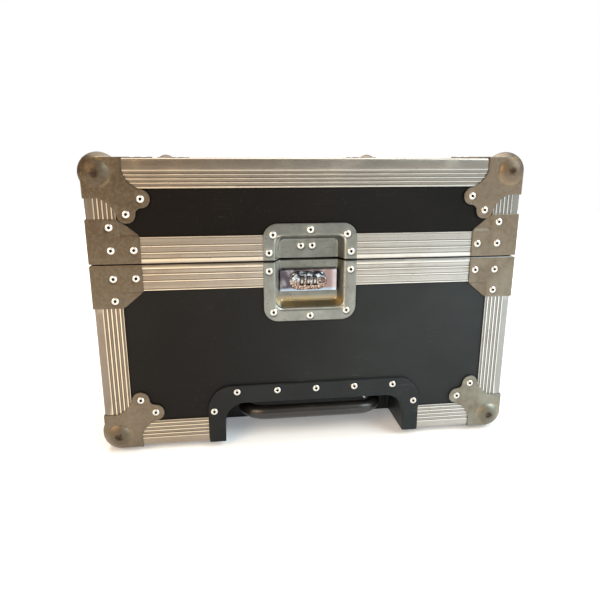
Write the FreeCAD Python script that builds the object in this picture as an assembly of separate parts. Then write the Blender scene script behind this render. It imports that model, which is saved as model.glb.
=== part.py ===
import FreeCAD
import Part
import math
import os

# Flight case on wheels, with a hinged lid, a combination lock and a pull-out handle.
# Millimetres. +Z is up, the front faces -Y and +X is to the right of someone facing it.
# The origin is on the floor, under the middle of the whole footprint, wheels included.

V = FreeCAD.Vector
X_AXIS = V(1, 0, 0)
Y_AXIS = V(0, 1, 0)
Z_AXIS = V(0, 0, 1)

# Case, measured over the aluminium edges
WIDTH = 466.0
DEPTH = 660.0
HEIGHT = 318.0
SPLIT_HEIGHT = 210.0
SPLIT_GAP = 1.5
FOOT_HEIGHT = 7.5

# Stock
PANEL = 9.0
SKIN = 1.6
PLATE = 1.2
FOAM = 15.0
FIT = 0.1
CLEAR = 0.3

# Aluminium profiles
ANGLE_LEG = 30.0
ANGLE_NOSE = 3.0
ANGLE_FLUTES = ((9.4, 12.6), (13.8, 17.0), (18.2, 21.4), (22.6, 25.8), (27.0, 29.4))
TOP_FLUTES = ((12.9, 15.9), (17.0, 20.0), (21.1, 24.1), (25.2, 28.2))
FLUTE_DEPTH = 0.45
FLUTE_SIDE = 0.3
RIM_LEG = 27.8
RIM_FLUTES = ((4.6, 10.2), (11.2, 17.4), (18.4, 26.8))
RIM_WEB = 6.0
RIM_INNER_LEG = 16.0
GROOVE = (4.3, 9.7, 3.5)
TONGUE = (5.5, 8.5, 3.8)

# Ball corners: a steel ball with a two-lobed plate on each of the three faces
BALL_RADIUS = 20.6
BALL_INSET = 14.2
BALL_TIP = 9.0
PANEL_TIP = 12.0
CORNER_LEG = 39.8
CORNER_LEG_WIDTH = 13.5
LOBE_RADIUS = 9.7
LOBE_FAR = 55.8
LOBE_NEAR = 40.4

# Braces beside the split
BRACE_ACROSS = 52.5
BRACE_ACROSS_WIDTH = 29.9
BRACE_DOWN = 47.5
BRACE_DOWN_WIDTH = 31.3
BRACE_RIVETS = ((22.4, 15.0), (22.4, 39.0), (45.6, 15.0))

# Rivets
RIVET_HEAD = 4.0
RIVET_RISE = 1.1
RIVET_SHANK = 2.0
RIVET_HOLE = 1.25
RIVET_GRIP = 10.4

# Latch dish in the front, with the lock in its lower half
DISH_X = -2.0
DISH_BOTTOM = 142.1
DISH_TOP = 250.7
DISH_WIDTH = 103.0
DISH_CORNER = 16.0
LIP_WIDTH = 77.4
LIP_BOTTOM = 155.7
LIP_TOP = 237.7
LIP_CORNER = 10.0
FLOOR_WIDTH = 65.0
FLOOR_BOTTOM = 162.0
FLOOR_TOP = 232.6
FLOOR_CORNER = 5.0
DISH_DEPTH = 13.0
DISH_RIVETS = ((-40.5, 238.6), (0, 243.7), (40.5, 238.6), (-45, 219.3), (45, 219.3),
               (-45, 199.3), (45, 199.3), (-40.8, 152.8), (0, 147.9), (40.8, 152.8))
LOCK_X = -2.6
LOCK_Z = 186.3
LOCK_WIDTH = 64.2
LOCK_HEIGHT = 25.4
LOCK_FACE = 8.2
BEZEL_X = -3.2
BEZEL_WIDTH = 42.0
BEZEL_HEIGHT = 21.0
BEZEL_FACE = 6.0
DIAL_PITCH = 7.3
DIAL_RADIUS = 5.8
DIAL_THICK = 4.2
DIAL_DEPTH = 10.5
DIAL_SHAFT = 1.5
WINDOW_WIDTH = 4.8
WINDOW_HEIGHT = 11.4
BUTTON_X = 14.1
BUTTON_WIDTH = 4.4
BUTTON_HEIGHT = 5.6
BUTTON_TRAVEL = 3.6
KEEPER_X = -4.4
KEEPER_WIDTH = 25.4
KEEPER_DEPTH = 15.4
KEEPER_THICK = 2.0
BOLT_Z = 201.5

# Recess for the pull-out handle, in the front and the underside
RECESS_X = 5.4
RECESS_HALF = 105.15
RECESS_TOP = 46.5
RECESS_CORNER = 23.0
RECESS_DEPTH = 57.0
MOULDING = 3.0
FLANGE_HALF = 124.1
FLANGE_TOP = 68.0
FLANGE_CORNER = 28.0
FLANGE_RISE = 1.8
FLANGE_RIVETS = ((-91, 60), (-45, 60), (0, 60), (45, 60), (91, 60), (-117.5, 37.5), (117.5, 37.5))

# Pull-out handle
GRIP_X = 3.5
GRIP_Z = 26.0
GRIP_DEPTH = 13.0
GRIP_RADIUS = 8.2
GRIP_ARM = 79.5
GRIP_BEND = 25.0
GRIP_END = 45.0
OUTER_TUBE = (10.5, 8.95, 490.0)
MIDDLE_TUBE = (8.85, 7.1, 440.0)
INNER_TUBE = (7.0, 5.5, 455.0)
CLAMP_PLACES = (150.0, 480.0)
RELEASE_HALF = 22.0
RELEASE_HEIGHT = 7.0
RELEASE_TRAVEL = 2.5

# Wheels in the rear bottom edge
WHEEL_X = 134.0
WHEEL_RADIUS = 30.0
WHEEL_WIDTH = 28.0
WHEEL_FLOOR_GAP = 1.5
WHEEL_INSET = 10.0
RIM_RADIUS = 22.0
AXLE_RADIUS = 4.0
WELL_HALF = 17.0
WELL_RADIUS = 34.0
WELL_FLANGE = 12.0

# Side handles
SIDE_Z = 126.0
SIDE_DISH_Y = 75.0
SIDE_DISH_Z = 52.0
SIDE_HOLE_Y = 62.0
SIDE_HOLE_Z = 40.0
SIDE_DEPTH = 22.0
BAIL_WIRE = 4.0
BAIL_HALF = 50.0
BAIL_PIVOT = 26.0
BAIL_DROP = 46.0
BAIL_DEPTH = 12.0
BAIL_GRIP = 8.0
SPRING_RADIUS = 6.4

# Inside
INNER_FLOOR_Z = 70.0
INNER_FLOOR = 6.0
BATTEN = 12.0
LID_PAD = 25.0

# Hinges
HINGE_X = 115.0
HINGE_WIDTH = 64.0
HINGE_LEAF = 46.0
HINGE_THICK = 2.0
HINGE_OUT = 5.6
KNUCKLE = 5.0
HINGE_PIN = 2.5
KNUCKLE_MIDDLE = 24.0

# Feet
FOOT_X = 165.0
FOOT_Y = 215.0
FOOT_RADIUS = 17.0

LEFT = -WIDTH / 2
RIGHT = WIDTH / 2
FRONT = -DEPTH / 2
REAR = DEPTH / 2
BOTTOM = FOOT_HEIGHT
TOP = BOTTOM + HEIGHT
SPLIT = BOTTOM + SPLIT_HEIGHT
BASE_RIM = SPLIT - SPLIT_GAP / 2
LID_RIM = SPLIT + SPLIT_GAP / 2
MIDDLE_HEIGHT = (BOTTOM + TOP) / 2
INSIDE = SKIN + PANEL

# The case is drawn about its own middle, and stands this far forward of it in the finished frame
FOOTPRINT_FRONT = FRONT + BALL_INSET - BALL_RADIUS
FOOTPRINT_REAR = REAR - WHEEL_INSET + WHEEL_RADIUS
FOOTPRINT_MIDDLE = (FOOTPRINT_FRONT + FOOTPRINT_REAR) / 2

holes = {"base": [], "lid": []}
rivets = {"base": [], "lid": []}


# ---------------------------------------------------------------- plain shapes

def block(x0, x1, y0, y1, z0, z1):
    return Part.makeBox(x1 - x0, y1 - y0, z1 - z0, V(x0, y0, z0))


def rod(start, direction, radius, length):
    return Part.makeCylinder(radius, length, start, direction)


def tube(start, direction, outer, inner, length):
    return rod(start, direction, outer, length).cut(rod(start, direction, inner, length))


def join(shapes):
    whole = shapes[0].multiFuse(shapes[1:]) if len(shapes) > 1 else shapes[0]
    return whole.removeSplitter()


def rounded_wire(corners, place):
    """A closed wire round (a, b, radius) corners; place turns (a, b) into a point."""
    edges = []
    ends = []
    for i, (a, b, radius) in enumerate(corners):
        here = V(a, b, 0)
        back = V(corners[i - 1][0], corners[i - 1][1], 0) - here
        ahead = V(corners[(i + 1) % len(corners)][0], corners[(i + 1) % len(corners)][1], 0) - here
        back.normalize()
        ahead.normalize()
        half = back.getAngle(ahead) / 2
        reach = radius / math.tan(half)
        inward = (back + ahead).normalize() if radius else V(0, 0, 0)
        nose = here + inward * (radius / math.sin(half) - radius)
        ends.append((here + back * reach, nose, here + ahead * reach))
    for i, (start, nose, end) in enumerate(ends):
        if corners[i][2]:
            edges.append(Part.Arc(place(start.x, start.y), place(nose.x, nose.y), place(end.x, end.y)).toShape())
        following = ends[(i + 1) % len(ends)][0]
        if (following - end).Length > 1e-6:
            edges.append(Part.LineSegment(place(end.x, end.y), place(following.x, following.y)).toShape())
    return Part.Wire(edges)


def prism(corners, place, along):
    return Part.Face(rounded_wire(corners, place)).extrude(along)


def rectangle(a0, a1, b0, b1, radius):
    return ((a0, b0, radius), (a1, b0, radius), (a1, b1, radius), (a0, b1, radius))


def on_front(depth):
    """Places (x, height above the underside) at a depth behind the front."""
    return lambda a, b: V(a, FRONT + depth, BOTTOM + b)


def mirror_x(shape):
    return shape.mirror(V(0, 0, 0), X_AXIS)


def mirror_y(shape):
    return shape.mirror(V(0, 0, 0), Y_AXIS)


def at_four_corners(shape):
    """The shape and its mirror images at the other three upright corners."""
    pair = [shape, mirror_x(shape)]
    return pair + [mirror_y(s) for s in pair]


def save(name, shapes):
    solids = []
    for shape in shapes if isinstance(shapes, list) else [shapes]:
        solids += shape.Solids
    whole = solids[0].copy() if len(solids) == 1 else Part.makeCompound(solids)
    whole.translate(V(0, -FOOTPRINT_MIDDLE, 0))
    volume = sum(s.Volume for s in solids)
    if not whole.isValid() or volume <= 0:
        print("BAD", name)
    print(f"{name:28s} {len(solids):4d} solids  {volume / 1000:10.2f} cm3")
    whole.exportStep(f"parts/{name}.step")


def drill(body, shape):
    """The shape with the body's rivet holes that reach it."""
    near = [h for h in holes[body] if h.BoundBox.intersect(shape.BoundBox)]
    return shape.cut(near) if near else shape


# ---------------------------------------------------------------- rivets

def rivet(point, inward, grip=RIVET_GRIP):
    """A dome-head blind rivet on a surface; inward points into the case."""
    head = Part.makeSphere((RIVET_HEAD ** 2 + RIVET_RISE ** 2) / (2 * RIVET_RISE))
    head.translate(V(0, 0, (RIVET_HEAD ** 2 + RIVET_RISE ** 2) / (2 * RIVET_RISE) - RIVET_RISE))
    head = head.common(block(-9, 9, -9, 9, -9, 0))
    shank = rod(V(0, 0, 0), Z_AXIS, RIVET_SHANK, grip)
    whole = head.fuse(shank).cut(rod(V(0, 0, -RIVET_RISE), Z_AXIS, RIVET_HOLE, 2.6))
    whole.Placement = FreeCAD.Placement(point, FreeCAD.Rotation(Z_AXIS, inward))
    return whole


def add_rivet(body, point, inward, grip=RIVET_GRIP):
    rivets[body].append(rivet(point, inward, grip))
    start = point - inward * 0.01
    holes[body].append(rod(start, inward, RIVET_SHANK + FIT, grip + 0.2))


def corner_signs():
    return [(sx, sy) for sx in (-1, 1) for sy in (-1, 1)]


def corner_rivets():
    """Two rivets in each plate of every ball corner."""
    for sx, sy in corner_signs():
        for body, sz, edge in (("base", -1, BOTTOM), ("lid", 1, TOP)):
            for far, near in ((LOBE_FAR, LOBE_NEAR), (LOBE_NEAR, LOBE_FAR)):
                x, y, z = sx * (RIGHT - far), sy * (REAR - far), edge - sz * near
                add_rivet(body, V(x, sy * (REAR + PLATE), z), V(0, -sy, 0))
                add_rivet(body, V(sx * (RIGHT + PLATE), y, z), V(-sx, 0, 0))
                y = sy * (REAR - near)
                add_rivet(body, V(x, y, edge + sz * PLATE), V(0, 0, -sz))


def brace_rivets():
    for sx, sy in corner_signs():
        for body, sz in (("base", -1), ("lid", 1)):
            for across, down in BRACE_RIVETS:
                z = SPLIT + sz * down
                add_rivet(body, V(sx * (RIGHT - across), sy * (REAR + PLATE), z), V(0, -sy, 0))
                add_rivet(body, V(sx * (RIGHT + PLATE), sy * (REAR - across), z), V(-sx, 0, 0))


def dish_rivets():
    for x, z in DISH_RIVETS:
        body = "lid" if z > SPLIT_HEIGHT else "base"
        add_rivet(body, V(DISH_X + x, FRONT - PLATE, BOTTOM + z), Y_AXIS)
    for x in (-6.4, 6.4):
        point = V(KEEPER_X + x, FRONT + DISH_DEPTH, BOTTOM + 224.5)
        add_rivet("lid", point, Y_AXIS, KEEPER_DEPTH + KEEPER_THICK - DISH_DEPTH + 0.5)


def flange_rivets():
    for x, z in FLANGE_RIVETS:
        add_rivet("base", V(RECESS_X + x, FRONT - FLANGE_RISE, BOTTOM + z), Y_AXIS, 11.0)
    for x in (-80, 0, 80):
        add_rivet("base", V(RECESS_X + x, FRONT + RECESS_DEPTH + 10, BOTTOM - 1), Z_AXIS, 10.0)


def side_rivets():
    for side in (-1, 1):
        for y in (-SIDE_DISH_Y + 6, 0, SIDE_DISH_Y - 6):
            for z in (-SIDE_DISH_Z + 6, SIDE_DISH_Z - 6):
                point = V(side * (RIGHT - SKIN + PLATE), y, BOTTOM + SIDE_Z + z)
                add_rivet("base", point, V(-side, 0, 0), 9.0)


def hinge_rivets():
    for side in (-1, 1):
        for x in (-22, 22):
            for z in (14, 36):
                place = side * HINGE_X + x
                add_rivet("base", V(place, REAR + HINGE_THICK, SPLIT - z), -Y_AXIS, 12.0)
                add_rivet("lid", V(place, REAR + HINGE_THICK, SPLIT + z), -Y_AXIS, 12.0)


def well_rivets():
    for side in (-1, 1):
        for x in (-25, 25):
            for z in (22, 56):
                add_rivet("base", V(side * WHEEL_X + x, REAR, BOTTOM + z), -Y_AXIS, 9.0)


# ---------------------------------------------------------------- panels

def front_cutouts():
    """What the front and floor panels leave free for the handle recess and the latch dish."""
    half = RECESS_HALF + MOULDING + CLEAR
    recess = prism(rectangle(RECESS_X - half, RECESS_X + half, -60, RECESS_TOP + MOULDING + CLEAR,
                             RECESS_CORNER + MOULDING), on_front(-5), V(0, RECESS_DEPTH + 8.3, 0))
    half = LIP_WIDTH / 2 + 1.8
    dish = block(DISH_X - half, DISH_X + half, FRONT - 5, FRONT + 20,
                 BOTTOM + LIP_BOTTOM - 1.8, BOTTOM + LIP_TOP + 1.8)
    return recess, dish


def well_cutouts():
    half = WELL_HALF + MOULDING + CLEAR
    axle_y = REAR - WHEEL_INSET
    axle_z = WHEEL_RADIUS + WHEEL_FLOOR_GAP
    reach = WELL_RADIUS + MOULDING + CLEAR
    return [block(side * WHEEL_X - half, side * WHEEL_X + half, axle_y - reach, REAR + 5,
                  BOTTOM - 5, axle_z + reach) for side in (-1, 1)]


def side_cutouts():
    hole_y = SIDE_HOLE_Y + PLATE + CLEAR
    hole_z = SIDE_HOLE_Z + PLATE + CLEAR
    z = BOTTOM + SIDE_Z
    return [block(x0, x1, -hole_y, hole_y, z - hole_z, z + hole_z)
            for x0, x1 in ((LEFT - 1, LEFT + 40), (RIGHT - 40, RIGHT + 1))]


def panel_tips():
    """Cubes at the eight corners, where the panels are cut back for the balls."""
    tip = block(LEFT, LEFT + PANEL_TIP, FRONT, FRONT + PANEL_TIP, BOTTOM, BOTTOM + PANEL_TIP)
    low = at_four_corners(tip)
    return low + [s.mirror(V(0, 0, MIDDLE_HEIGHT), Z_AXIS) for s in low]


def save_panel(name, shape, cuts=()):
    save(name, drill(name.split("_")[0], shape.cut(panel_tips() + list(cuts))))


def base_panels():
    recess, dish = front_cutouts()
    wells = well_cutouts()
    low, high = BOTTOM + INSIDE, BASE_RIM - RIM_WEB
    floor = block(LEFT + SKIN, RIGHT - SKIN, FRONT + SKIN, REAR - SKIN, BOTTOM + SKIN, low)
    front = block(LEFT + SKIN, RIGHT - SKIN, FRONT + SKIN, FRONT + INSIDE, low, high)
    rear = block(LEFT + SKIN, RIGHT - SKIN, REAR - INSIDE, REAR - SKIN, low, high)
    left = block(LEFT + SKIN, LEFT + INSIDE, FRONT + INSIDE, REAR - INSIDE, low, high)
    save_panel("base_floor_panel", floor, [recess] + wells)
    save_panel("base_front_panel", front, [recess, dish])
    save_panel("base_rear_panel", rear, wells)
    save_panel("base_left_panel", left, side_cutouts())
    save_panel("base_right_panel", mirror_x(left), side_cutouts())


def lid_panels():
    dish = front_cutouts()[1]
    low, high = LID_RIM + RIM_WEB, TOP - INSIDE
    top = block(LEFT + SKIN, RIGHT - SKIN, FRONT + SKIN, REAR - SKIN, high, TOP - SKIN)
    front = block(LEFT + SKIN, RIGHT - SKIN, FRONT + SKIN, FRONT + INSIDE, low, high)
    left = block(LEFT + SKIN, LEFT + INSIDE, FRONT + INSIDE, REAR - INSIDE, low, high)
    save_panel("lid_top_panel", top)
    save_panel("lid_front_panel", front, [dish])
    save_panel("lid_rear_panel", mirror_y(front))
    save_panel("lid_left_panel", left)
    save_panel("lid_right_panel", mirror_x(left))


# ---------------------------------------------------------------- aluminium profiles

def flutes(cuts):
    """Points along a fluted face: distance from its start, and depth below it."""
    points = []
    for start, end in cuts:
        points += [(start, 0), (start + FLUTE_SIDE, FLUTE_DEPTH), (end - FLUTE_SIDE, FLUTE_DEPTH), (end, 0)]
    return points


def angle_section(cuts):
    """An edge angle: legs along a and b, with its outer faces on a = 0 and b = 0."""
    along = flutes(cuts)
    section = [(0, 0, ANGLE_NOSE)]
    section += [(a, b, 0) for a, b in along]
    section += [(ANGLE_LEG, 0, 0), (ANGLE_LEG, SKIN, 0), (SKIN, SKIN, 0), (SKIN, ANGLE_LEG, 0), (0, ANGLE_LEG, 0)]
    section += [(b, a, 0) for a, b in reversed(along)]
    return section


def rim_section(tongue):
    """A rim profile: a is the depth from the outer face, b the distance from the split."""
    section = [(0, 0, 0)]
    if tongue:
        start, end, rise = TONGUE
        section += [(start, 0, 0), (start, -rise, 0.6), (end, -rise, 0.6), (end, 0, 0)]
    else:
        start, end, sink = GROOVE
        section += [(start, 0, 0), (start, sink, 0), (end, sink, 0), (end, 0, 0)]
    inner = INSIDE + SKIN
    section += [(inner, 0, 0), (inner, RIM_INNER_LEG, 0), (INSIDE, RIM_INNER_LEG, 0), (INSIDE, RIM_WEB, 0),
                (SKIN, RIM_WEB, 0), (SKIN, RIM_LEG, 0), (0, RIM_LEG, 0)]
    section += [(b, a, 0) for a, b in reversed(flutes(RIM_FLUTES))]
    return section


def edge_angles(body):
    """The twelve edges of the case, less the four at the split, for one half."""
    section = angle_section(ANGLE_FLUTES if body == "base" else TOP_FLUTES)
    end = ANGLE_LEG + 0.2
    across = prism(section, lambda a, b: V(LEFT + end, FRONT + a, BOTTOM + b), V(WIDTH - 2 * end, 0, 0))
    along = prism(section, lambda a, b: V(LEFT + a, FRONT + end, BOTTOM + b), V(0, DEPTH - 2 * end, 0))
    flange = FLANGE_HALF + CLEAR
    gap = block(RECESS_X - flange, RECESS_X + flange, FRONT - 5, FRONT + 90, BOTTOM - 5, BOTTOM + 80)
    if body == "base":
        half = WELL_HALF + MOULDING + WELL_FLANGE + CLEAR
        wells = [block(s * WHEEL_X - half, s * WHEEL_X + half, REAR - 60, REAR + 5, BOTTOM - 5, BOTTOM + 90)
                 for s in (-1, 1)]
        rails = [across.cut(gap), mirror_y(across).cut(wells), along, mirror_x(along)]
        low, high = BOTTOM + end, BASE_RIM - RIM_LEG - 0.1
    else:
        rails = [across, mirror_y(across), along, mirror_x(along)]
        rails = [s.mirror(V(0, 0, MIDDLE_HEIGHT), Z_AXIS) for s in rails]
        low, high = LID_RIM + RIM_LEG + 0.1, TOP - end
    post = prism(angle_section(ANGLE_FLUTES), lambda a, b: V(LEFT + a, FRONT + b, low), V(0, 0, high - low))
    save(f"{body}_edge_angles", [drill(body, s) for s in rails + at_four_corners(post)])


def rim_profiles(body):
    """Mitred profiles round the mouth of one half; the lid's tongue drops into the base's groove."""
    sign = 1 if body == "lid" else -1
    edge = LID_RIM if body == "lid" else BASE_RIM
    section = rim_section(body == "lid")
    across = prism(section, lambda a, b: V(LEFT, FRONT + a, edge + sign * b), V(WIDTH, 0, 0))
    along = prism(section, lambda a, b: V(LEFT + a, FRONT, edge + sign * b), V(0, DEPTH, 0))
    mitre = 40.0
    low = edge - 60

    def flat(a, b):
        return V(a, b, low)
    front_part = prism(((LEFT, FRONT, 0), (RIGHT, FRONT, 0), (RIGHT - mitre, FRONT + mitre, 0),
                        (LEFT + mitre, FRONT + mitre, 0)), flat, V(0, 0, 120))
    left_part = prism(((LEFT, FRONT, 0), (LEFT + mitre, FRONT + mitre, 0), (LEFT + mitre, REAR - mitre, 0),
                       (LEFT, REAR, 0)), flat, V(0, 0, 120))
    across = across.common(front_part)
    along = along.common(left_part)
    dish = front_cutouts()[1]
    profiles = [across.cut(dish), mirror_y(across), along, mirror_x(along)]
    save(f"{body}_rim_profiles", [drill(body, s) for s in profiles])


# ---------------------------------------------------------------- steel fittings

def corner_outline(place):
    """The plate of a ball corner: two legs along the edges and two round lobes."""
    t = -PLATE
    leg, width = CORNER_LEG, CORNER_LEG_WIDTH
    far, near, r = LOBE_FAR, LOBE_NEAR, LOBE_RADIUS
    half = [(leg, t), (leg, width)]
    slope = math.sqrt(0.5)
    dip = far - (far - near - r) * slope
    path = [("line", half[0], half[1]),
            ("arc", half[1], (leg + 7.4, width + 11.5), (far + 3.7, near - 9.0)),
            ("arc", (far + 3.7, near - 9.0), (far + r, near), (far, near + r)),
            ("arc", (far, near + r), (dip, dip), (near + r, far))]
    back = []
    for piece in reversed(path[:3]):
        back.append((piece[0],) + tuple((b, a) for a, b in reversed(piece[1:])))
    corner = [("line", (t, leg), (t, t)), ("line", (t, t), (leg, t))]
    edges = []
    for piece in path + back + corner:
        points = [place(a, b) for a, b in piece[1:]]
        curve = Part.LineSegment(*points) if piece[0] == "line" else Part.Arc(*points)
        edges.append(curve.toShape())
    return Part.Face(Part.Wire(edges))


def ball_corner():
    """The ball corner at the left, front, bottom corner of the case."""
    plates = [corner_outline(lambda a, b: V(a, -PLATE, b)).extrude(V(0, PLATE, 0)),
              corner_outline(lambda a, b: V(-PLATE, a, b)).extrude(V(PLATE, 0, 0)),
              corner_outline(lambda a, b: V(a, b, -PLATE)).extrude(V(0, 0, PLATE))]
    square_tip = block(-5, BALL_INSET, -5, BALL_INSET, -5, BALL_INSET)
    plates = [p.cut(square_tip) for p in plates]
    ball = Part.makeSphere(BALL_RADIUS, V(BALL_INSET, BALL_INSET, BALL_INSET))
    inside = block(0, 80, 0, 80, 0, 80).cut(block(-1, BALL_TIP, -1, BALL_TIP, -1, BALL_TIP))
    whole = plates[0].multiFuse(plates[1:] + [ball]).cut(inside)
    whole.translate(V(LEFT, FRONT, BOTTOM))
    return whole


def ball_corners():
    low = at_four_corners(ball_corner())
    high = [s.mirror(V(0, 0, MIDDLE_HEIGHT), Z_AXIS) for s in low]
    save("base_ball_corners", [drill("base", s) for s in low])
    save("lid_ball_corners", [drill("lid", s) for s in high])


def brace_face(place, inward):
    """One face of a brace: an L on the profiles, and a web stepped down to the panel."""
    start = SPLIT_GAP / 2
    t = -PLATE
    ell = prism(((t, start, 0), (BRACE_ACROSS, start, 0), (BRACE_ACROSS, BRACE_ACROSS_WIDTH, 0),
                 (BRACE_DOWN_WIDTH, BRACE_ACROSS_WIDTH, 0), (BRACE_DOWN_WIDTH, BRACE_DOWN, 0), (t, BRACE_DOWN, 0)),
                place, inward * PLATE)
    inner_a, inner_b = BRACE_DOWN_WIDTH - PLATE, BRACE_ACROSS_WIDTH - PLATE
    step = prism(((inner_a, inner_b, 0), (BRACE_ACROSS, inner_b, 0), (BRACE_ACROSS, BRACE_ACROSS_WIDTH, 0),
                  (BRACE_DOWN_WIDTH, BRACE_ACROSS_WIDTH, 0), (BRACE_DOWN_WIDTH, BRACE_DOWN, 0),
                  (inner_a, BRACE_DOWN, 0)), place, inward * (PLATE + SKIN))
    web = prism(((inner_a, inner_b, 0), (BRACE_ACROSS, inner_b, 0), (BRACE_ACROSS, BRACE_ACROSS_WIDTH, 0),
                 (BRACE_DOWN_WIDTH, BRACE_DOWN, 0), (inner_a, BRACE_DOWN, 0)), place, inward * PLATE)
    web.translate(inward * SKIN)
    return [ell, step, web]


def braces():
    """A brace wraps each upright edge on both sides of the split."""
    front = brace_face(lambda a, b: V(LEFT + a, FRONT - PLATE, SPLIT - b), Y_AXIS)
    side = brace_face(lambda a, b: V(LEFT - PLATE, FRONT + a, SPLIT - b), X_AXIS)
    low = at_four_corners(join(front + side))
    high = [s.mirror(V(0, 0, SPLIT), Z_AXIS) for s in low]
    save("base_corner_braces", [drill("base", s) for s in low])
    save("lid_corner_braces", [drill("lid", s) for s in high])


# ---------------------------------------------------------------- latch dish and lock

def dish_wire(half, low, high, corner, depth, grow):
    return rounded_wire(rectangle(DISH_X - half - grow, DISH_X + half + grow, low - grow, high + grow,
                                  corner + grow), on_front(depth))


def latch_dish():
    """The pressed dish, whole; the split divides it."""
    flange = Part.Face(dish_wire(DISH_WIDTH / 2, DISH_BOTTOM, DISH_TOP, DISH_CORNER, -PLATE, 0))
    flange = flange.extrude(V(0, PLATE, 0))
    cup = []
    for grow, back in ((PLATE, PLATE), (0, 0)):
        mouth = dish_wire(LIP_WIDTH / 2, LIP_BOTTOM, LIP_TOP, LIP_CORNER, -PLATE, grow)
        floor = dish_wire(FLOOR_WIDTH / 2, FLOOR_BOTTOM, FLOOR_TOP, FLOOR_CORNER, DISH_DEPTH + back, grow)
        cup.append(Part.makeLoft([mouth, floor], True, True))
    works = block(DISH_X - 13, 17, FRONT, FRONT + 20, BOTTOM + LOCK_Z - 7, BOTTOM + LOCK_Z + 7)
    return flange.fuse(cup[0]).cut([cup[1], works])


def dish_halves():
    dish = latch_dish()
    below = block(LEFT, RIGHT, FRONT - 10, FRONT + 40, BOTTOM, BASE_RIM)
    above = block(LEFT, RIGHT, FRONT - 10, FRONT + 40, LID_RIM, TOP)
    save("latch_dish_lower", drill("base", dish.common(below)))
    save("latch_dish_upper", drill("lid", dish.common(above)))


def dial_places():
    return [BEZEL_X + n * DIAL_PITCH for n in (-1, 0, 1)]


def lock_block(x, half_x, half_z, near, far, lift=0.0):
    z = BOTTOM + LOCK_Z + lift
    return block(x - half_x, x + half_x, FRONT + near, FRONT + far, z - half_z, z + half_z)


def button_slot(near, far):
    high = BUTTON_X + BUTTON_WIDTH / 2 + 0.3
    low = BUTTON_X - BUTTON_WIDTH / 2 - BUTTON_TRAVEL - 0.3
    return lock_block((low + high) / 2, (high - low) / 2, BUTTON_HEIGHT / 2 + 0.2, near, far)


def lock_parts():
    face = lock_block(LOCK_X, LOCK_WIDTH / 2, LOCK_HEIGHT / 2, LOCK_FACE, DISH_DEPTH)
    hollow = lock_block(LOCK_X, LOCK_WIDTH / 2 - PLATE, LOCK_HEIGHT / 2 - PLATE, LOCK_FACE + PLATE, DISH_DEPTH + 1)
    ears = [lock_block(BEZEL_X + s * DIAL_PITCH / 2, 1.0, 2.8, LOCK_FACE + PLATE - 0.2, DISH_DEPTH - 0.1)
            for s in (-1, 1)]
    shaft_start = V(dial_places()[0] - 2.8, FRONT + DIAL_DEPTH, BOTTOM + LOCK_Z)
    shaft_length = 2 * DIAL_PITCH + 5.6
    bore = rod(shaft_start, X_AXIS, DIAL_SHAFT + 0.02, shaft_length)
    windows = [lock_block(x, WINDOW_WIDTH / 2, 6.4, LOCK_FACE - 1, LOCK_FACE + PLATE + 0.1) for x in dial_places()]
    plate = face.cut([hollow, button_slot(0, LOCK_FACE + 3)] + windows).multiFuse(ears).cut(bore)
    save("lock_face_plate", plate)

    radius = BEZEL_HEIGHT / 2
    oval = prism(rectangle(BEZEL_X - BEZEL_WIDTH / 2, BEZEL_X + BEZEL_WIDTH / 2, LOCK_Z - radius, LOCK_Z + radius,
                           radius - 0.01), on_front(BEZEL_FACE), V(0, LOCK_FACE - BEZEL_FACE, 0))
    windows = [lock_block(x, WINDOW_WIDTH / 2, WINDOW_HEIGHT / 2, 0, LOCK_FACE) for x in dial_places()]
    save("lock_bezel", oval.cut(windows + [button_slot(0, LOCK_FACE)]))
    save("lock_dial_shaft", rod(shaft_start, X_AXIS, DIAL_SHAFT, shaft_length))

    for name, x in zip(("left", "middle", "right"), dial_places()):
        centre = V(x - DIAL_THICK / 2, FRONT + DIAL_DEPTH, BOTTOM + LOCK_Z)
        dial = tube(centre, X_AXIS, DIAL_RADIUS, DIAL_SHAFT + 0.05, DIAL_THICK)
        notches = []
        for n in range(10):
            notch = block(x - 3, x + 3, FRONT + DIAL_DEPTH - 0.35, FRONT + DIAL_DEPTH + 0.35,
                          BOTTOM + LOCK_Z + DIAL_RADIUS - 0.35, BOTTOM + LOCK_Z + DIAL_RADIUS + 1)
            notch.rotate(V(x, FRONT + DIAL_DEPTH, BOTTOM + LOCK_Z), X_AXIS, 36 * n)
            notches.append(notch)
        save(f"number_dial_{name}", dial.cut(notches))

    cap = lock_block(BUTTON_X, BUTTON_WIDTH / 2, BUTTON_HEIGHT / 2, BEZEL_FACE - 1.6, LOCK_FACE + 2.6)
    stem = lock_block(BUTTON_X, 1.5, 1.5, LOCK_FACE, KEEPER_DEPTH)
    save("lock_slide_button", cap.fuse(stem).removeSplitter())
    reach = KEEPER_X + KEEPER_WIDTH / 2 + 0.6
    lock_bolt(reach)
    keeper()


def lock_bolt(tip):
    """A flat bolt behind the dish floor; it slides left into the keeper's notch."""
    near, far = FRONT + KEEPER_DEPTH, FRONT + KEEPER_DEPTH + KEEPER_THICK
    upright = block(BUTTON_X - 1.4, BUTTON_X + 5, near, far, BOTTOM + LOCK_Z - 4, BOTTOM + BOLT_Z + 1.7)
    finger = block(tip, BUTTON_X + 5, near, far, BOTTOM + BOLT_Z - 1.7, BOTTOM + BOLT_Z + 1.7)
    save("lock_bolt", upright.fuse(finger).removeSplitter())


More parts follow.
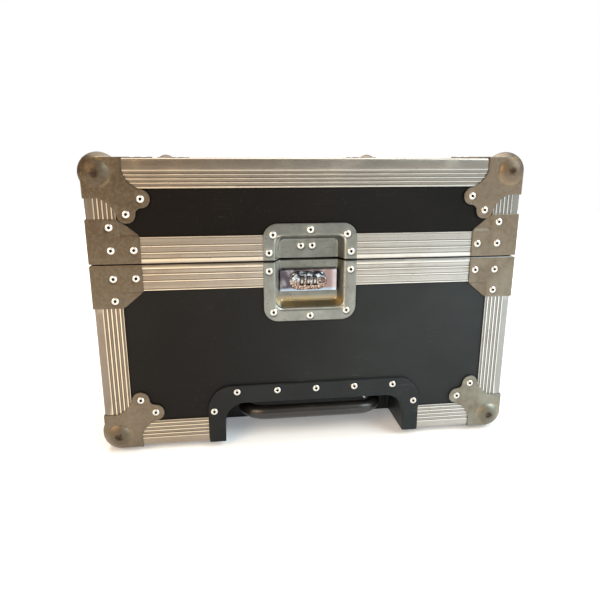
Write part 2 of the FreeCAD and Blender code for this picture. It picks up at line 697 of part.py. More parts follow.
def keeper():
    """A hook plate riveted behind the upper half of the dish, hanging below the split."""
    half = KEEPER_WIDTH / 2
    near = FRONT + KEEPER_DEPTH
    plate = block(KEEPER_X - half, KEEPER_X + half, near, near + KEEPER_THICK, BOTTOM + 196, BOTTOM + 231)
    boss = block(KEEPER_X - half, KEEPER_X + half, FRONT + DISH_DEPTH + PLATE, near + 0.5, BOTTOM + 218, BOTTOM + 231)
    notch = block(KEEPER_X + half - 4, KEEPER_X + half + 1, near - 1, near + KEEPER_THICK + 1,
                  BOTTOM + BOLT_Z - 2.4, BOTTOM + BOLT_Z + 2.4)
    save("lock_keeper", drill("lid", plate.fuse(boss).removeSplitter().cut(notch)))


# ---------------------------------------------------------------- handle recess and handle

def tube_starts(depth):
    return [V(GRIP_X + s * GRIP_ARM, FRONT + depth, BOTTOM + GRIP_Z) for s in (-1, 1)]


def recess_prism(grow, near, far, low):
    half = RECESS_HALF + grow
    corners = ((RECESS_X - half, low, 0), (RECESS_X + half, low, 0),
               (RECESS_X + half, RECESS_TOP + grow, RECESS_CORNER + grow),
               (RECESS_X - half, RECESS_TOP + grow, RECESS_CORNER + grow))
    return prism(corners, on_front(near), V(0, far - near, 0))


def handle_recess():
    """The moulded housing in the bottom front edge, open to the front and below."""
    low = -1.0
    shell = recess_prism(MOULDING, SKIN, RECESS_DEPTH + MOULDING, low)
    left, right = RECESS_X - FLANGE_HALF, RECESS_X + FLANGE_HALF
    front = prism(((left, low, 0), (right, low, 0), (right, FLANGE_TOP, FLANGE_CORNER),
                   (left, FLANGE_TOP, FLANGE_CORNER)), on_front(-FLANGE_RISE), V(0, FLANGE_RISE + SKIN, 0))
    deep = RECESS_DEPTH + FLANGE_HALF - RECESS_HALF
    under = prism(((left, -FLANGE_RISE, 0), (right, -FLANGE_RISE, 0), (right, deep, 20), (left, deep, 20)),
                  lambda a, b: V(a, FRONT + b, BOTTOM + low), V(0, 0, SKIN - low))
    hollow = recess_prism(0, -20, RECESS_DEPTH, -20)
    bores = [rod(p, Y_AXIS, OUTER_TUBE[0] + FIT, 20) for p in tube_starts(RECESS_DEPTH - 5)]
    whole = shell.multiFuse([front, under]).cut([hollow] + bores)
    save("handle_recess", drill("base", whole))


def handle_tubes():
    outer, bore, length = OUTER_TUBE
    save("handle_outer_tubes", [tube(p, Y_AXIS, outer, bore, length) for p in tube_starts(RECESS_DEPTH)])
    outer, bore, length = MIDDLE_TUBE
    save("handle_middle_tubes", [tube(p, Y_AXIS, outer, bore, length) for p in tube_starts(RECESS_DEPTH + 0.3)])
    outer, bore, length = INNER_TUBE
    save("handle_inner_tubes", [tube(p, Y_AXIS, outer, bore, length) for p in tube_starts(GRIP_END)])
    clamps = []
    for x in (GRIP_X - GRIP_ARM, GRIP_X + GRIP_ARM):
        for depth in CLAMP_PLACES:
            clamp = block(x - 19, x + 19, FRONT + depth - 11, FRONT + depth + 11, BOTTOM + INSIDE, BOTTOM + GRIP_Z + 14)
            bore = rod(V(x, FRONT + depth - 12, BOTTOM + GRIP_Z), Y_AXIS, OUTER_TUBE[0] + 0.05, 24)
            clamps.append(clamp.cut(bore))
    save("handle_tube_clamps", clamps)


def pull_handle():
    """A round bar across, bent back at both ends to meet the tubes; a release bar sits behind it."""
    y, z = FRONT + GRIP_DEPTH, BOTTOM + GRIP_Z
    left, right, bend = GRIP_X - GRIP_ARM, GRIP_X + GRIP_ARM, GRIP_BEND
    end = FRONT + GRIP_END
    turn = bend * (1 - math.sqrt(0.5))
    path = Part.Wire([
        Part.LineSegment(V(left, end, z), V(left, y + bend, z)).toShape(),
        Part.Arc(V(left, y + bend, z), V(left + turn, y + turn, z), V(left + bend, y, z)).toShape(),
        Part.LineSegment(V(left + bend, y, z), V(right - bend, y, z)).toShape(),
        Part.Arc(V(right - bend, y, z), V(right - turn, y + turn, z), V(right, y + bend, z)).toShape(),
        Part.LineSegment(V(right, y + bend, z), V(right, end, z)).toShape()])
    circle = Part.Wire([Part.makeCircle(GRIP_RADIUS, V(left, end, z), Y_AXIS)])
    grip = path.makePipeShell([circle], True, True)
    half = RELEASE_HALF + CLEAR
    high = RELEASE_HEIGHT / 2 + CLEAR
    pocket = block(GRIP_X - half, GRIP_X + half, y + 0.8, y + 12, z - high, z + high)
    save("pull_handle_grip", grip.cut(pocket))
    release = block(GRIP_X - RELEASE_HALF, GRIP_X + RELEASE_HALF, y + 0.8 + RELEASE_TRAVEL + 0.4,
                    y + GRIP_RADIUS + RELEASE_TRAVEL + 0.4, z - RELEASE_HEIGHT / 2, z + RELEASE_HEIGHT / 2)
    save("handle_release_bar", release)


# ---------------------------------------------------------------- wheels

def wheel_wells():
    axle_y, axle_z = REAR - WHEEL_INSET, WHEEL_RADIUS + WHEEL_FLOOR_GAP
    for name, side in (("left", -1), ("right", 1)):
        x = side * WHEEL_X
        wall = WELL_HALF + MOULDING
        reach = WELL_RADIUS + MOULDING
        shell = block(x - wall, x + wall, axle_y - reach, REAR, BOTTOM - 0.8, axle_z + reach)
        edge = wall + WELL_FLANGE
        rear = block(x - edge, x + edge, REAR - SKIN, REAR, BOTTOM - 0.8, axle_z + reach + 6)
        under = block(x - edge, x + edge, axle_y - reach - 6, REAR, BOTTOM - 0.8, BOTTOM + SKIN)
        hollow = block(x - WELL_HALF, x + WELL_HALF, axle_y - WELL_RADIUS, REAR + 1, BOTTOM - 2, axle_z + WELL_RADIUS)
        bore = rod(V(x - wall - 1, axle_y, axle_z), X_AXIS, AXLE_RADIUS + 0.02, 2 * wall + 2)
        well = shell.multiFuse([rear, under]).cut([hollow, bore])
        save(f"wheel_well_{name}", drill("base", well))


def wheels():
    axle_y, axle_z = REAR - WHEEL_INSET, WHEEL_RADIUS + WHEEL_FLOOR_GAP
    half = WHEEL_WIDTH / 2
    axles = []
    for name, side in (("left", -1), ("right", 1)):
        x = side * WHEEL_X
        start = V(x - half, axle_y, axle_z)
        wall = WELL_HALF + MOULDING
        axle = rod(V(x - wall, axle_y, axle_z), X_AXIS, AXLE_RADIUS, 2 * wall)
        axles.append(axle)
        hub = tube(start, X_AXIS, RIM_RADIUS, AXLE_RADIUS + 0.06, WHEEL_WIDTH)
        sinks = []
        for near in (x - half, x + half - 5):
            sinks.append(tube(V(near, axle_y, axle_z), X_AXIS, RIM_RADIUS - 4, AXLE_RADIUS + 4, 5))
        save(f"wheel_hub_{name}", hub.cut(sinks))
        tread = tube(start, X_AXIS, WHEEL_RADIUS, RIM_RADIUS, WHEEL_WIDTH)
        outer = [e for e in tread.Edges if abs(e.BoundBox.ZLength - 2 * WHEEL_RADIUS) < 0.01 and e.BoundBox.XLength < 0.01]
        save(f"wheel_tyre_{name}", tread.makeFillet(4.0, outer))
    save("wheel_axles", axles)


# ---------------------------------------------------------------- side handles

def side_handles():
    """A pressed dish in each side with a sprung bail; built on the right and mirrored."""
    z = BOTTOM + SIDE_Z
    face = RIGHT - SKIN
    flange = prism(rectangle(-SIDE_DISH_Y, SIDE_DISH_Y, z - SIDE_DISH_Z, z + SIDE_DISH_Z, 10),
                   lambda a, b: V(face, a, b), V(PLATE, 0, 0))
    outer = prism(rectangle(-SIDE_HOLE_Y - PLATE, SIDE_HOLE_Y + PLATE, z - SIDE_HOLE_Z - PLATE,
                            z + SIDE_HOLE_Z + PLATE, 9), lambda a, b: V(face - SIDE_DEPTH - PLATE, a, b),
                  V(SIDE_DEPTH + PLATE, 0, 0))
    inner = prism(rectangle(-SIDE_HOLE_Y, SIDE_HOLE_Y, z - SIDE_HOLE_Z, z + SIDE_HOLE_Z, 8),
                  lambda a, b: V(face - SIDE_DEPTH, a, b), V(SIDE_DEPTH + 5, 0, 0))
    pivot_x, pivot_z = face - BAIL_DEPTH, z + BAIL_PIVOT
    bore = rod(V(pivot_x, -SIDE_HOLE_Y - 5, pivot_z), Y_AXIS, BAIL_WIRE + 0.05, 2 * SIDE_HOLE_Y + 10)
    dish = flange.fuse(outer).cut([inner, bore])

    bend = 8.0
    turn = bend * (1 - math.sqrt(0.5))
    reach, low = SIDE_HOLE_Y + PLATE, pivot_z - BAIL_DROP
    half = BAIL_HALF
    edges = []
    for s in (-1, 1):
        pieces = [Part.LineSegment(V(pivot_x, s * reach, pivot_z), V(pivot_x, s * (half + bend), pivot_z)),
                  Part.Arc(V(pivot_x, s * (half + bend), pivot_z), V(pivot_x, s * (half + turn), pivot_z - turn),
                           V(pivot_x, s * half, pivot_z - bend)),
                  Part.LineSegment(V(pivot_x, s * half, pivot_z - bend), V(pivot_x, s * half, low + bend)),
                  Part.Arc(V(pivot_x, s * half, low + bend), V(pivot_x, s * (half - turn), low + turn),
                           V(pivot_x, s * (half - bend), low))]
        edges += [p.toShape() for p in pieces]
    edges.append(Part.LineSegment(V(pivot_x, bend - half, low), V(pivot_x, half - bend, low)).toShape())
    path = Part.Wire(Part.__sortEdges__(edges))
    ends = [v.Point for v in path.OrderedVertexes]
    circle = Part.Wire([Part.makeCircle(BAIL_WIRE, ends[0], Y_AXIS)])
    bail = path.makePipeShell([circle], True, True)
    sleeve_half = half - bend - 3
    sleeve = tube(V(pivot_x, -sleeve_half, low), Y_AXIS, BAIL_GRIP, BAIL_WIRE, 2 * sleeve_half)
    springs = []
    for s in (-1, 1):
        start = V(pivot_x, s * (SIDE_HOLE_Y - 0.5), pivot_z)
        springs.append(tube(start, V(0, -s, 0), SPRING_RADIUS, BAIL_WIRE + 0.4, 3.0))

    for name, flip in (("right", False), ("left", True)):
        def put(shape):
            return mirror_x(shape) if flip else shape
        save(f"side_handle_dish_{name}", drill("base", put(dish)))
        save(f"side_handle_bail_{name}", put(bail))
        save(f"side_handle_grip_{name}", put(sleeve))
    save("side_handle_springs", springs + [mirror_x(s) for s in springs])


# ---------------------------------------------------------------- hinges

def hinge_leaf(x, up):
    """One leaf with its knuckles; the base's leaf has the outer two and the lid's the middle one."""
    axis_y = REAR + HINGE_OUT
    half, middle = HINGE_WIDTH / 2, KNUCKLE_MIDDLE / 2
    sign = 1 if up else -1
    away = KNUCKLE + 0.8
    low, high = sorted((SPLIT + sign * away, SPLIT + sign * HINGE_LEAF))
    pieces = [block(x - half, x + half, REAR, REAR + HINGE_THICK, low, high)]
    spans = [(-middle + 0.3, middle - 0.3)] if up else [(-half, -middle), (middle, half)]
    for start, end in spans:
        low, high = sorted((SPLIT, SPLIT + sign * (away + 1)))
        pieces.append(block(x + start, x + end, axis_y - KNUCKLE, axis_y - KNUCKLE + HINGE_THICK, low, high))
        pieces.append(rod(V(x + start, axis_y, SPLIT), X_AXIS, KNUCKLE, end - start))
        low, high = sorted((SPLIT + sign * away, SPLIT + sign * (away + 1)))
        pieces.append(block(x + start, x + end, REAR, axis_y - KNUCKLE + HINGE_THICK, low, high))
    leaf = join(pieces)
    bore = HINGE_PIN + (0.05 if up else 0.01)
    return leaf.cut(rod(V(x - half - 1, axis_y, SPLIT), X_AXIS, bore, HINGE_WIDTH + 2))


def hinges():
    places = (-HINGE_X, HINGE_X)
    save("hinge_base_leaves", [drill("base", hinge_leaf(x, False)) for x in places])
    save("hinge_lid_leaves", [drill("lid", hinge_leaf(x, True)) for x in places])
    start = HINGE_WIDTH / 2
    save("hinge_pins", [rod(V(x - start, REAR + HINGE_OUT, SPLIT), X_AXIS, HINGE_PIN, HINGE_WIDTH) for x in places])


# ---------------------------------------------------------------- inside and feet

def inner_floor():
    x, y = RIGHT - INSIDE, REAR - INSIDE
    save("inner_floor", block(-x, x, -y, y, INNER_FLOOR_Z, INNER_FLOOR_Z + INNER_FLOOR))
    batten = block(-x, -x + BATTEN, -y + 5, y - 5, BOTTOM + INSIDE, INNER_FLOOR_Z)
    save("floor_battens", [batten, mirror_x(batten)])


def foam_walls(low, high):
    x, y = RIGHT - INSIDE, REAR - INSIDE
    front = block(-x, x, -y, -y + FOAM, low, high)
    left = block(-x, -x + FOAM, -y + FOAM, y - FOAM, low, high)
    return [front, mirror_y(front), left, mirror_x(left)]


def foam():
    x, y = RIGHT - INSIDE, REAR - INSIDE
    low = INNER_FLOOR_Z + INNER_FLOOR
    pad = block(-x, x, -y, y, low, low + FOAM)
    dish = block(DISH_X - 45, DISH_X + 45, FRONT, FRONT + 40, BOTTOM + LIP_BOTTOM - 4, BOTTOM + LIP_TOP + 4)
    walls = [s.cut([dish] + side_cutouts()) for s in foam_walls(low + FOAM, BASE_RIM - RIM_INNER_LEG - 1)]
    save("base_foam", [pad] + walls)
    high = TOP - INSIDE
    pad = block(-x, x, -y, y, high - LID_PAD, high)
    walls = [s.cut(dish) for s in foam_walls(LID_RIM + RIM_INNER_LEG + 1, high - LID_PAD)]
    save("lid_foam", [pad] + walls)


def feet():
    pieces = []
    for sx, sy in corner_signs():
        base = V(sx * FOOT_X, sy * FOOT_Y, 0)
        pieces.append(Part.makeCone(FOOT_RADIUS - 2, FOOT_RADIUS, BOTTOM + SKIN, base, Z_AXIS))
    save("rubber_feet", pieces)


def main():
    os.makedirs("parts", exist_ok=True)
    corner_rivets()
    brace_rivets()
    dish_rivets()
    flange_rivets()
    side_rivets()
    hinge_rivets()
    well_rivets()
    base_panels()
    lid_panels()
    for body in ("base", "lid"):
        edge_angles(body)
        rim_profiles(body)
    ball_corners()
    braces()
    dish_halves()
    lock_parts()
    handle_recess()
    handle_tubes()
    pull_handle()
    wheel_wells()
    wheels()
    side_handles()
    hinges()
    inner_floor()
    foam()
    feet()
    save("base_rivets", rivets["base"])
    save("lid_rivets", rivets["lid"])


main()
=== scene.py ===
import itertools
import math

import bmesh
import bpy
from bpy.props import FloatProperty, FloatVectorProperty, PointerProperty
from mathutils import Euler, Matrix, Vector
from mathutils.geometry import tessellate_polygon


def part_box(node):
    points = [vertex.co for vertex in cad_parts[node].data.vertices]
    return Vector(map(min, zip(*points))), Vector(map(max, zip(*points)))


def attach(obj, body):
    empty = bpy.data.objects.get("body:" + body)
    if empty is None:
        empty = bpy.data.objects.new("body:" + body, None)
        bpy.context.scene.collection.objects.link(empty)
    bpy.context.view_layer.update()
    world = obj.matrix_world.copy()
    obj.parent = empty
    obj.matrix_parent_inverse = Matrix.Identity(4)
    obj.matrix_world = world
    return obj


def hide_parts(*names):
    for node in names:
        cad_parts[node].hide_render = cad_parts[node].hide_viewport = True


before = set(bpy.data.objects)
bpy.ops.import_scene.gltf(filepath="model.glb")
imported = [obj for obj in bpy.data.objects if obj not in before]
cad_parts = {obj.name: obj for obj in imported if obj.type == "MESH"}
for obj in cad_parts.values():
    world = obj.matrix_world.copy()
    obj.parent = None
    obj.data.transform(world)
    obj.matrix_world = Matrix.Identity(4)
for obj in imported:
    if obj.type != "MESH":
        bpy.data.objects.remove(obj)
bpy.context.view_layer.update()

bl_info = {
    "name": "Flight Case",
    "version": (1, 0, 0),
    "blender": (4, 5, 0),
    "location": "View3D > Sidebar > Flight Case",
    "description": "Dresses a flight case frame with its pressed, drawn and moulded parts",
    "category": "Object",
}

MM = 0.001
TOUCHING = 1e-6


def cad(node):
    """Lowest and highest corner of a frame node."""
    low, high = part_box(node)
    return Vector(low), Vector(high)


# The case over its aluminium edges, and the two rims at the split
LEFT, FRONT, BOTTOM = cad("base_edge_angles")[0]
RIGHT, REAR, TOP = cad("lid_edge_angles")[1]
BASE_RIM = cad("base_rim_profiles")[1].z
LID_RIM = cad("lid_corner_braces")[0].z

# Drawn profiles, in millimetres from the outer corner or from the rim
ANGLE_LEG, RIM_LEG, WALL = 30.0, 27.8, 1.6
ANGLE_FLUTES = ((9.4, 12.6), (13.8, 17.0), (18.2, 21.4), (22.6, 25.8), (27.0, 29.4))
TOP_FLUTES = ((12.9, 15.9), (17.0, 20.0), (21.1, 24.1), (25.2, 28.2))
RIM_FLUTES = ((4.6, 10.2), (11.2, 17.4), (18.4, 26.8))
RIM_WEB, RIM_INNER_LEG, RIM_DEPTH = 6.0, 16.0, 12.2
GROOVE, TONGUE = (4.3, 9.7, 3.5), (5.5, 8.5, 3.8)
# The second number is the painted shade at the mouth of a rim's groove or tongue.
FLUTE_DEPTH, MOUTH_SHADE = 0.45, 1.4
FOAM = 15 * MM

# Where distances from each side of the case start, and which way they run
AT_LEFT, AT_RIGHT = (LEFT, 1), (RIGHT, -1)
AT_FRONT, AT_REAR = (FRONT, 1), (REAR, -1)
AT_BOTTOM, AT_TOP = (BOTTOM, 1), (TOP, -1)

BODIES, SIDES, DIALS = ("base", "lid"), ("left", "right"), ("left", "middle", "right")
TURN = 2 * math.pi


# ------------------------------------------------------------------ sizes and colours

def length(name, description, default, low=0.0, high=1.0):
    return FloatProperty(name=name, description=description, default=default, min=low, max=high,
                         subtype="DISTANCE", unit="LENGTH", precision=5)


def colour(name, description, default):
    return FloatVectorProperty(name=name, description=description, default=default, size=3,
                               subtype="COLOR", min=0.0, max=1.0)


class CaseSizes(bpy.types.PropertyGroup):
    sheet: length("Sheet", "Thickness of the pressed steel", 1.2 * MM)
    skin_step: length("Pressing step", "Mesh step on the pressed steel", 0.8 * MM, 0.3 * MM)
    ball_radius: length("Ball radius", "Radius of the ball corners", 20.5 * MM)
    ball_inset: length("Ball inset", "From each face of the case to the middle of a ball", 14.2 * MM)
    rivet_radius: length("Rivet radius", "Radius of a rivet head", 3.9 * MM)
    rivet_hole: length("Rivet hole", "Radius of the hole left by the rivet's mandrel", 1.6 * MM)
    dimple: length("Dimple", "How far the sheet is drawn in round a rivet", 0.45 * MM)
    lip_bend: length("Lip bend", "Bend radius at the mouth of a dish", 3.2 * MM)
    grip_radius: length("Grip radius", "Radius of the pull handle's bar", 8.1 * MM)
    tread: length("Tread", "Depth of the grooves in a tyre", 1.2 * MM)
    foam_wave: length("Foam wave", "Spacing of the waves in the lid foam", 34 * MM, 5 * MM)
    foam_depth: length("Foam depth", "Height of the waves in the lid foam", 11 * MM)


class CaseColours(bpy.types.PropertyGroup):
    # A paint with a twin for the right is one finish painted with the light: darker and warmer to the left,
    # lighter and cooler to the right.
    laminate: colour("Laminate, left", "Black laminate towards the left", (0.0048, 0.0038, 0.0030))
    laminate_right: colour("Laminate, right", "Black laminate towards the right", (0.0165, 0.0200, 0.0215))
    # The lid's laminate is the base's, painted darker: painted shade.
    lid_laminate: colour("Lid laminate, left", "Black laminate of the lid towards the left",
                         (0.0030, 0.0018, 0.0010))
    lid_laminate_right: colour("Lid laminate, right", "Black laminate of the lid towards the right",
                               (0.0050, 0.0052, 0.0052))
    aluminium: colour("Aluminium, left", "Drawn edges and rims towards the left", (0.310, 0.258, 0.200))
    aluminium_right: colour("Aluminium, right", "Drawn edges and rims towards the right",
                            (0.445, 0.445, 0.425))
    stain: colour("Stain", "Brownish film on the aluminium", (0.26, 0.20, 0.145))
    steel: colour("Worn steel, left", "Plated steel of corners and braces towards the left",
                  (0.140, 0.112, 0.080))
    steel_right: colour("Worn steel, right", "Plated steel of corners and braces towards the right",
                        (0.200, 0.204, 0.172))
    zinc: colour("Zinc", "Plated steel of the dishes", (0.225, 0.235, 0.215))
    chrome: colour("Chrome", "Lock plate and bezel", (0.62, 0.62, 0.66))
    rivet: colour("Rivet", "Aluminium rivets", (0.70, 0.69, 0.66))
    moulding: colour("Moulding, left", "Black moulded recess and wells towards the left",
                     (0.0040, 0.0040, 0.0038))
    moulding_right: colour("Moulding, right", "Black moulded recess and wells towards the right",
                           (0.0110, 0.0150, 0.0170))
    grip: colour("Grip, left", "Smooth black handle bar and sleeves towards the left",
                 (0.0055, 0.0045, 0.0040))
    grip_right: colour("Grip, right", "Smooth black handle bar and sleeves towards the right",
                       (0.0170, 0.0165, 0.0160))
    tube: colour("Tube", "Steel tubes and bails", (0.55, 0.55, 0.56))
    iron: colour("Bare steel", "Pins, axles, springs and screws", (0.33, 0.32, 0.31))
    black_steel: colour("Blackened steel", "Lock bolt and keeper", (0.030, 0.028, 0.027))
    dial: colour("Dial", "Number dials", (0.085, 0.080, 0.076))
    foam: colour("Foam", "Foam lining", (0.035, 0.036, 0.04))
    rubber: colour("Rubber", "Tyres and feet", (0.022, 0.022, 0.022))
    hub: colour("Hub", "Wheel hubs", (0.20, 0.205, 0.21))
    board: colour("Board", "Bare plywood inside", (0.50, 0.33, 0.17))


class CaseStage(bpy.types.PropertyGroup):
    eye: FloatVectorProperty(name="Eye", description="Camera, from the foot of the front face's middle",
                             default=(-0.0868, -0.5744, 0.3184), subtype="TRANSLATION", unit="LENGTH")
    pitch: FloatProperty(name="Pitch", description="How far the camera looks down",
                         default=math.radians(14.76), subtype="ANGLE")
    yaw: FloatProperty(name="Yaw", description="How far the camera turns to the right",
                       default=math.radians(7.29), subtype="ANGLE")
    lens: FloatProperty(name="Lens", description="Focal length in millimetres", default=32.46)
    floor: colour("Floor", "Studio floor", (0.90, 0.90, 0.90))
    floor_glow: FloatProperty(name="Floor glow", description="Light that comes through the floor sheet",
                              default=0.22)
    sky: FloatProperty(name="Sky", description="Strength of the soft light all round", default=0.62)
    warm: colour("Warm side", "Tint of the soft light from the left", (0.70, 0.48, 0.30))
    cool: colour("Cool side", "Tint of the soft light from the right", (0.92, 0.99, 1.0))


def sizes():
    return bpy.context.scene.case_sizes


def paint(name):
    """A colour from the panel, as three plain numbers."""
    return tuple(getattr(bpy.context.scene.case_colours, name))


# ------------------------------------------------------------------ shader graphs

class Value:
    """A shader socket that takes part in sums such as 1 - mask * 0.5."""

    def __init__(self, sheet, socket):
        self.sheet = sheet
        self.socket = socket

    def sum(self, operation, *values):
        return self.sheet.node("ShaderNodeMath", {"operation": operation}, *values)

    def __add__(self, other):
        return self.sum("ADD", self, other)

    __radd__ = __add__

    def __sub__(self, other):
        return self.sum("SUBTRACT", self, other)

    def __rsub__(self, other):
        return self.sum("SUBTRACT", other, self)

    def __mul__(self, other):
        return self.sum("MULTIPLY", self, other)

    __rmul__ = __mul__

    def __abs__(self):
        return self.sum("ABSOLUTE", self)

    def at_most(self, other):
        return self.sum("MINIMUM", self, other)

    def at_least(self, other):
        return self.sum("MAXIMUM", self, other)

    def between(self, low, high):
        """0 below low, 1 above high, and smooth between them."""
        settings = {"interpolation_type": "SMOOTHSTEP"}
        return self.sheet.node("ShaderNodeMapRange", settings, self, low, high, 0.0, 1.0)


class Graph:
    """A node tree being built."""

    def __init__(self, tree, place):
        self.tree = tree
        self.place = self.node("ShaderNodeTexCoord", output=place)

    def node(self, kind, settings=None, *values, output=0, **named):
        """Adds a node: its settings first, then its sockets by order or by name."""
        node = self.tree.nodes.new(kind)
        for key, value in (settings or {}).items():
            setattr(node, key, value)
        given = dict(enumerate(values))
        given.update({key.replace("_", " "): value for key, value in named.items()})
        for key, value in given.items():
            if isinstance(value, Value):
                self.tree.links.new(value.socket, node.inputs[key])
            elif value is not None:
                node.inputs[key].default_value = value
        return Value(self, node.outputs[output])

    def stretched(self, scale, turn=(0, 0, 0), source=None):
        settings = {"vector_type": "POINT"}
        return self.node("ShaderNodeMapping", settings, source or self.place, (0, 0, 0), turn, scale)

    def part_of(self, axis, vector=None):
        """One of the three numbers of a vector, by its letter."""
        return self.node("ShaderNodeSeparateXYZ", None, vector or self.place, output=axis)

    def noise(self, scale, detail=3.0, rough=0.55, source=None):
        return self.node("ShaderNodeTexNoise", None, Vector=source or self.place, Scale=scale, Detail=detail,
                         Roughness=rough)

    def cells(self, scale, source=None, feature="F1"):
        settings = {"feature": feature}
        return self.node("ShaderNodeTexVoronoi", settings, Vector=source or self.place, Scale=scale)

    def blend(self, factor, first, second):
        first, second = [c if isinstance(c, Value) else (*c, 1.0) for c in (first, second)]
        node = self.tree.nodes.new("ShaderNodeMix")
        node.data_type = "RGBA"
        for index, value in ((0, factor), (6, first), (7, second)):
            if isinstance(value, Value):
                self.tree.links.new(value.socket, node.inputs[index])
            else:
                node.inputs[index].default_value = value
        return Value(self, node.outputs[2])


class Sheet(Graph):
    """A material being built."""

    def __init__(self, name, base, metallic=0.0, roughness=0.5):
        self.material = bpy.data.materials.new(name)
        self.material.use_nodes = True
        super().__init__(self.material.node_tree, "Object")
        self.shader = self.tree.nodes["Principled BSDF"]
        self.shader.inputs["Base Color"].default_value = (*base, 1.0)
        self.shader.inputs["Metallic"].default_value = metallic
        self.shader.inputs["Roughness"].default_value = roughness
        self.material.diffuse_color = (*base, 1.0)

    def set(self, socket, value):
        if isinstance(value, Value):
            self.tree.links.new(value.socket, self.shader.inputs[socket])
        else:
            self.shader.inputs[socket].default_value = value

    def mark(self, name):
        """A number kept on the mesh, such as its wear."""
        return self.node("ShaderNodeAttribute", {"attribute_name": name}, output="Fac")

    def side(self):
        """0 at the left of the case and 1 at its right, for painted light: darker and warmer to the left,
        lighter and cooler to the right.
        """
        return self.part_of("X").between(LEFT * 0.9, RIGHT * 0.9)

    def height(self):
        """0 at the bottom of the case and 1 at its top."""
        return self.part_of("Z").between(BOTTOM, TOP)

    def lay(self):
        """Where a point lies along and across a drawn profile, and 1 in the third place on a post, which is
        painted darker as shade.
        """
        return self.node("ShaderNodeAttribute", {"attribute_name": "lay"}, output="Vector")

    def done(self, base, roughness, height, strength, distance):
        """Sets what every finish varies, and gives the material."""
        bump = self.node("ShaderNodeBump", None, Strength=strength, Distance=distance, Height=height)
        for socket, value in (("Base Color", base), ("Roughness", roughness), ("Normal", bump)):
            self.set(socket, value)
        return self.material

    def scratches(self, turn, spacing, width, spread, amount):
        """Fine straight marks here and there: narrow bands of a noise drawn out along one direction."""
        drawn = self.stretched((spacing * 0.02, spacing, spacing), turn)
        band = abs(self.noise(1.0, 1.0, 0.5, drawn) - 0.5)
        patch = self.noise(spread, 2.0, 0.5).between(1 - amount, 1.06 - amount)
        return (1 - band.between(0.0, width)) * patch


def tint(base, factor):
    return tuple(min(1.0, c * factor) for c in base)


# Colours of dirt, wear and bare metal, and of painted light: a dark halo of painted shade, brass and gold
# painted reflections and a pale painted highlight
DUST, SCRATCH, PIT, RUST = (0.16, 0.14, 0.12), (0.30, 0.29, 0.27), (0.05, 0.04, 0.03), (0.030, 0.014, 0.008)
SPANGLE, HALO, PAINTED_LIGHT = (0.34, 0.31, 0.27), (0.085, 0.066, 0.042), (0.84, 0.82, 0.72)
BRASS, GOLD = (0.36, 0.25, 0.12), (0.50, 0.36, 0.16)


def laminate_finish(name, paints, shine):
    """Black laminate with a fine pebble, a film of dust and a few fine scratches on each face, with painted
    light: darker to the left, lighter to the right.
    """
    left, right = paint(paints), paint(paints + "_right")
    s = Sheet(name, left, 0.0, 0.45)
    pebble = s.cells(1300.0)
    grain = s.noise(2300.0, 2.0)
    smear = s.noise(5.0, 4.0, 0.6)
    dust = s.noise(260.0, 5.0, 0.75).between(0.56, 0.80)
    marks = s.scratches((0.0, 0.7, 0.0), 170.0, 0.005, 12.0, 0.36)
    marks = marks.at_least(s.scratches((0.0, 0.0, 0.5), 150.0, 0.005, 11.0, 0.37))
    marks = marks.at_least(s.scratches((0.6, math.pi / 2, 0.0), 150.0, 0.005, 10.0, 0.37))
    # Painted light: from the left paint to the right paint across the case.
    side_light = s.blend(s.side(), left, right)
    lighter = s.blend(s.side(), tint(left, 1.6), tint(right, 1.5))
    shade = s.blend(smear.between(0.35, 0.7), side_light, lighter)
    shade = s.blend(dust * 0.10, shade, DUST)
    s.set("Specular IOR Level", shine)
    return s.done(s.blend(marks * 0.08, shade, SCRATCH),
                  0.42 + smear * 0.12 + dust * 0.10 + pebble * 0.06,
                  pebble * 0.8 + grain * 0.4 - marks * 0.3, 0.30, 0.00010)


def aluminium_finish():
    """Drawn aluminium: fine lines along the profile, painted shade in the grooves and on the posts, and
    painted highlights on the ridges.
    """
    left, right = paint("aluminium"), paint("aluminium_right")
    s = Sheet("drawn_aluminium", left, 1.0, 0.34)
    lay = s.lay()
    drawn = s.noise(1.0, 3.0, 0.6, s.stretched((3.0, 1900.0, 1.0), source=lay))
    broad = s.noise(1.0, 3.0, 0.6, s.stretched((2.0, 420.0, 1.0), source=lay))
    stain = s.noise(26.0, 6.0, 0.72).between(0.46, 0.76)
    specks = s.noise(420.0, 3.0, 0.6).between(0.64, 0.72)
    groove = s.mark("groove")
    nicks = s.scratches((0.2, 0.7, 1.0), 260.0, 0.006, 14.0, 0.42)
    side = s.side()
    # Painted light: darker and warmer to the left, lighter and cooler to the right.
    dull = s.blend(side, tint(left, 0.84), tint(right, 0.84))
    clean = s.blend(side, tint(left, 1.14), tint(right, 1.10))
    # The post colour is painted shade, and the ridge colour a painted highlight.
    post = s.blend(side, (0.125, 0.106, 0.092), (0.15, 0.16, 0.155))
    ridge = s.blend(side, (0.86, 0.72, 0.52), (0.72, 0.73, 0.70))
    # Painted warm light high up on the right.
    warm_top = s.height().between(0.75, 1.0) * side * 0.8
    shade = s.blend(broad.between(0.3, 0.7), dull, clean)
    shade = s.blend(warm_top, shade, (0.36, 0.315, 0.265))
    shade = s.blend(stain * (0.50 - side * 0.25), shade, paint("stain"))
    # Painted shade on the posts.
    shade = s.blend(s.part_of("Z", lay) * 0.62, shade, post)
    # Painted shade in the grooves, then painted highlights on the ridges, from the groove numbers.
    shade = s.blend(groove.at_least(0.0).at_most(1.0) * 0.75, shade, tint(left, 0.22))
    shade = s.blend((0 - groove).at_least(0.0), shade, ridge)
    return s.done(s.blend(specks * 0.5, shade, (0.13, 0.10, 0.07)),
                  0.23 + drawn * 0.14 + stain * 0.16 + groove.at_least(0.0) * 0.10,
                  drawn * 0.6 - nicks * 1.4 - specks * 0.8, 0.16, 0.00007)


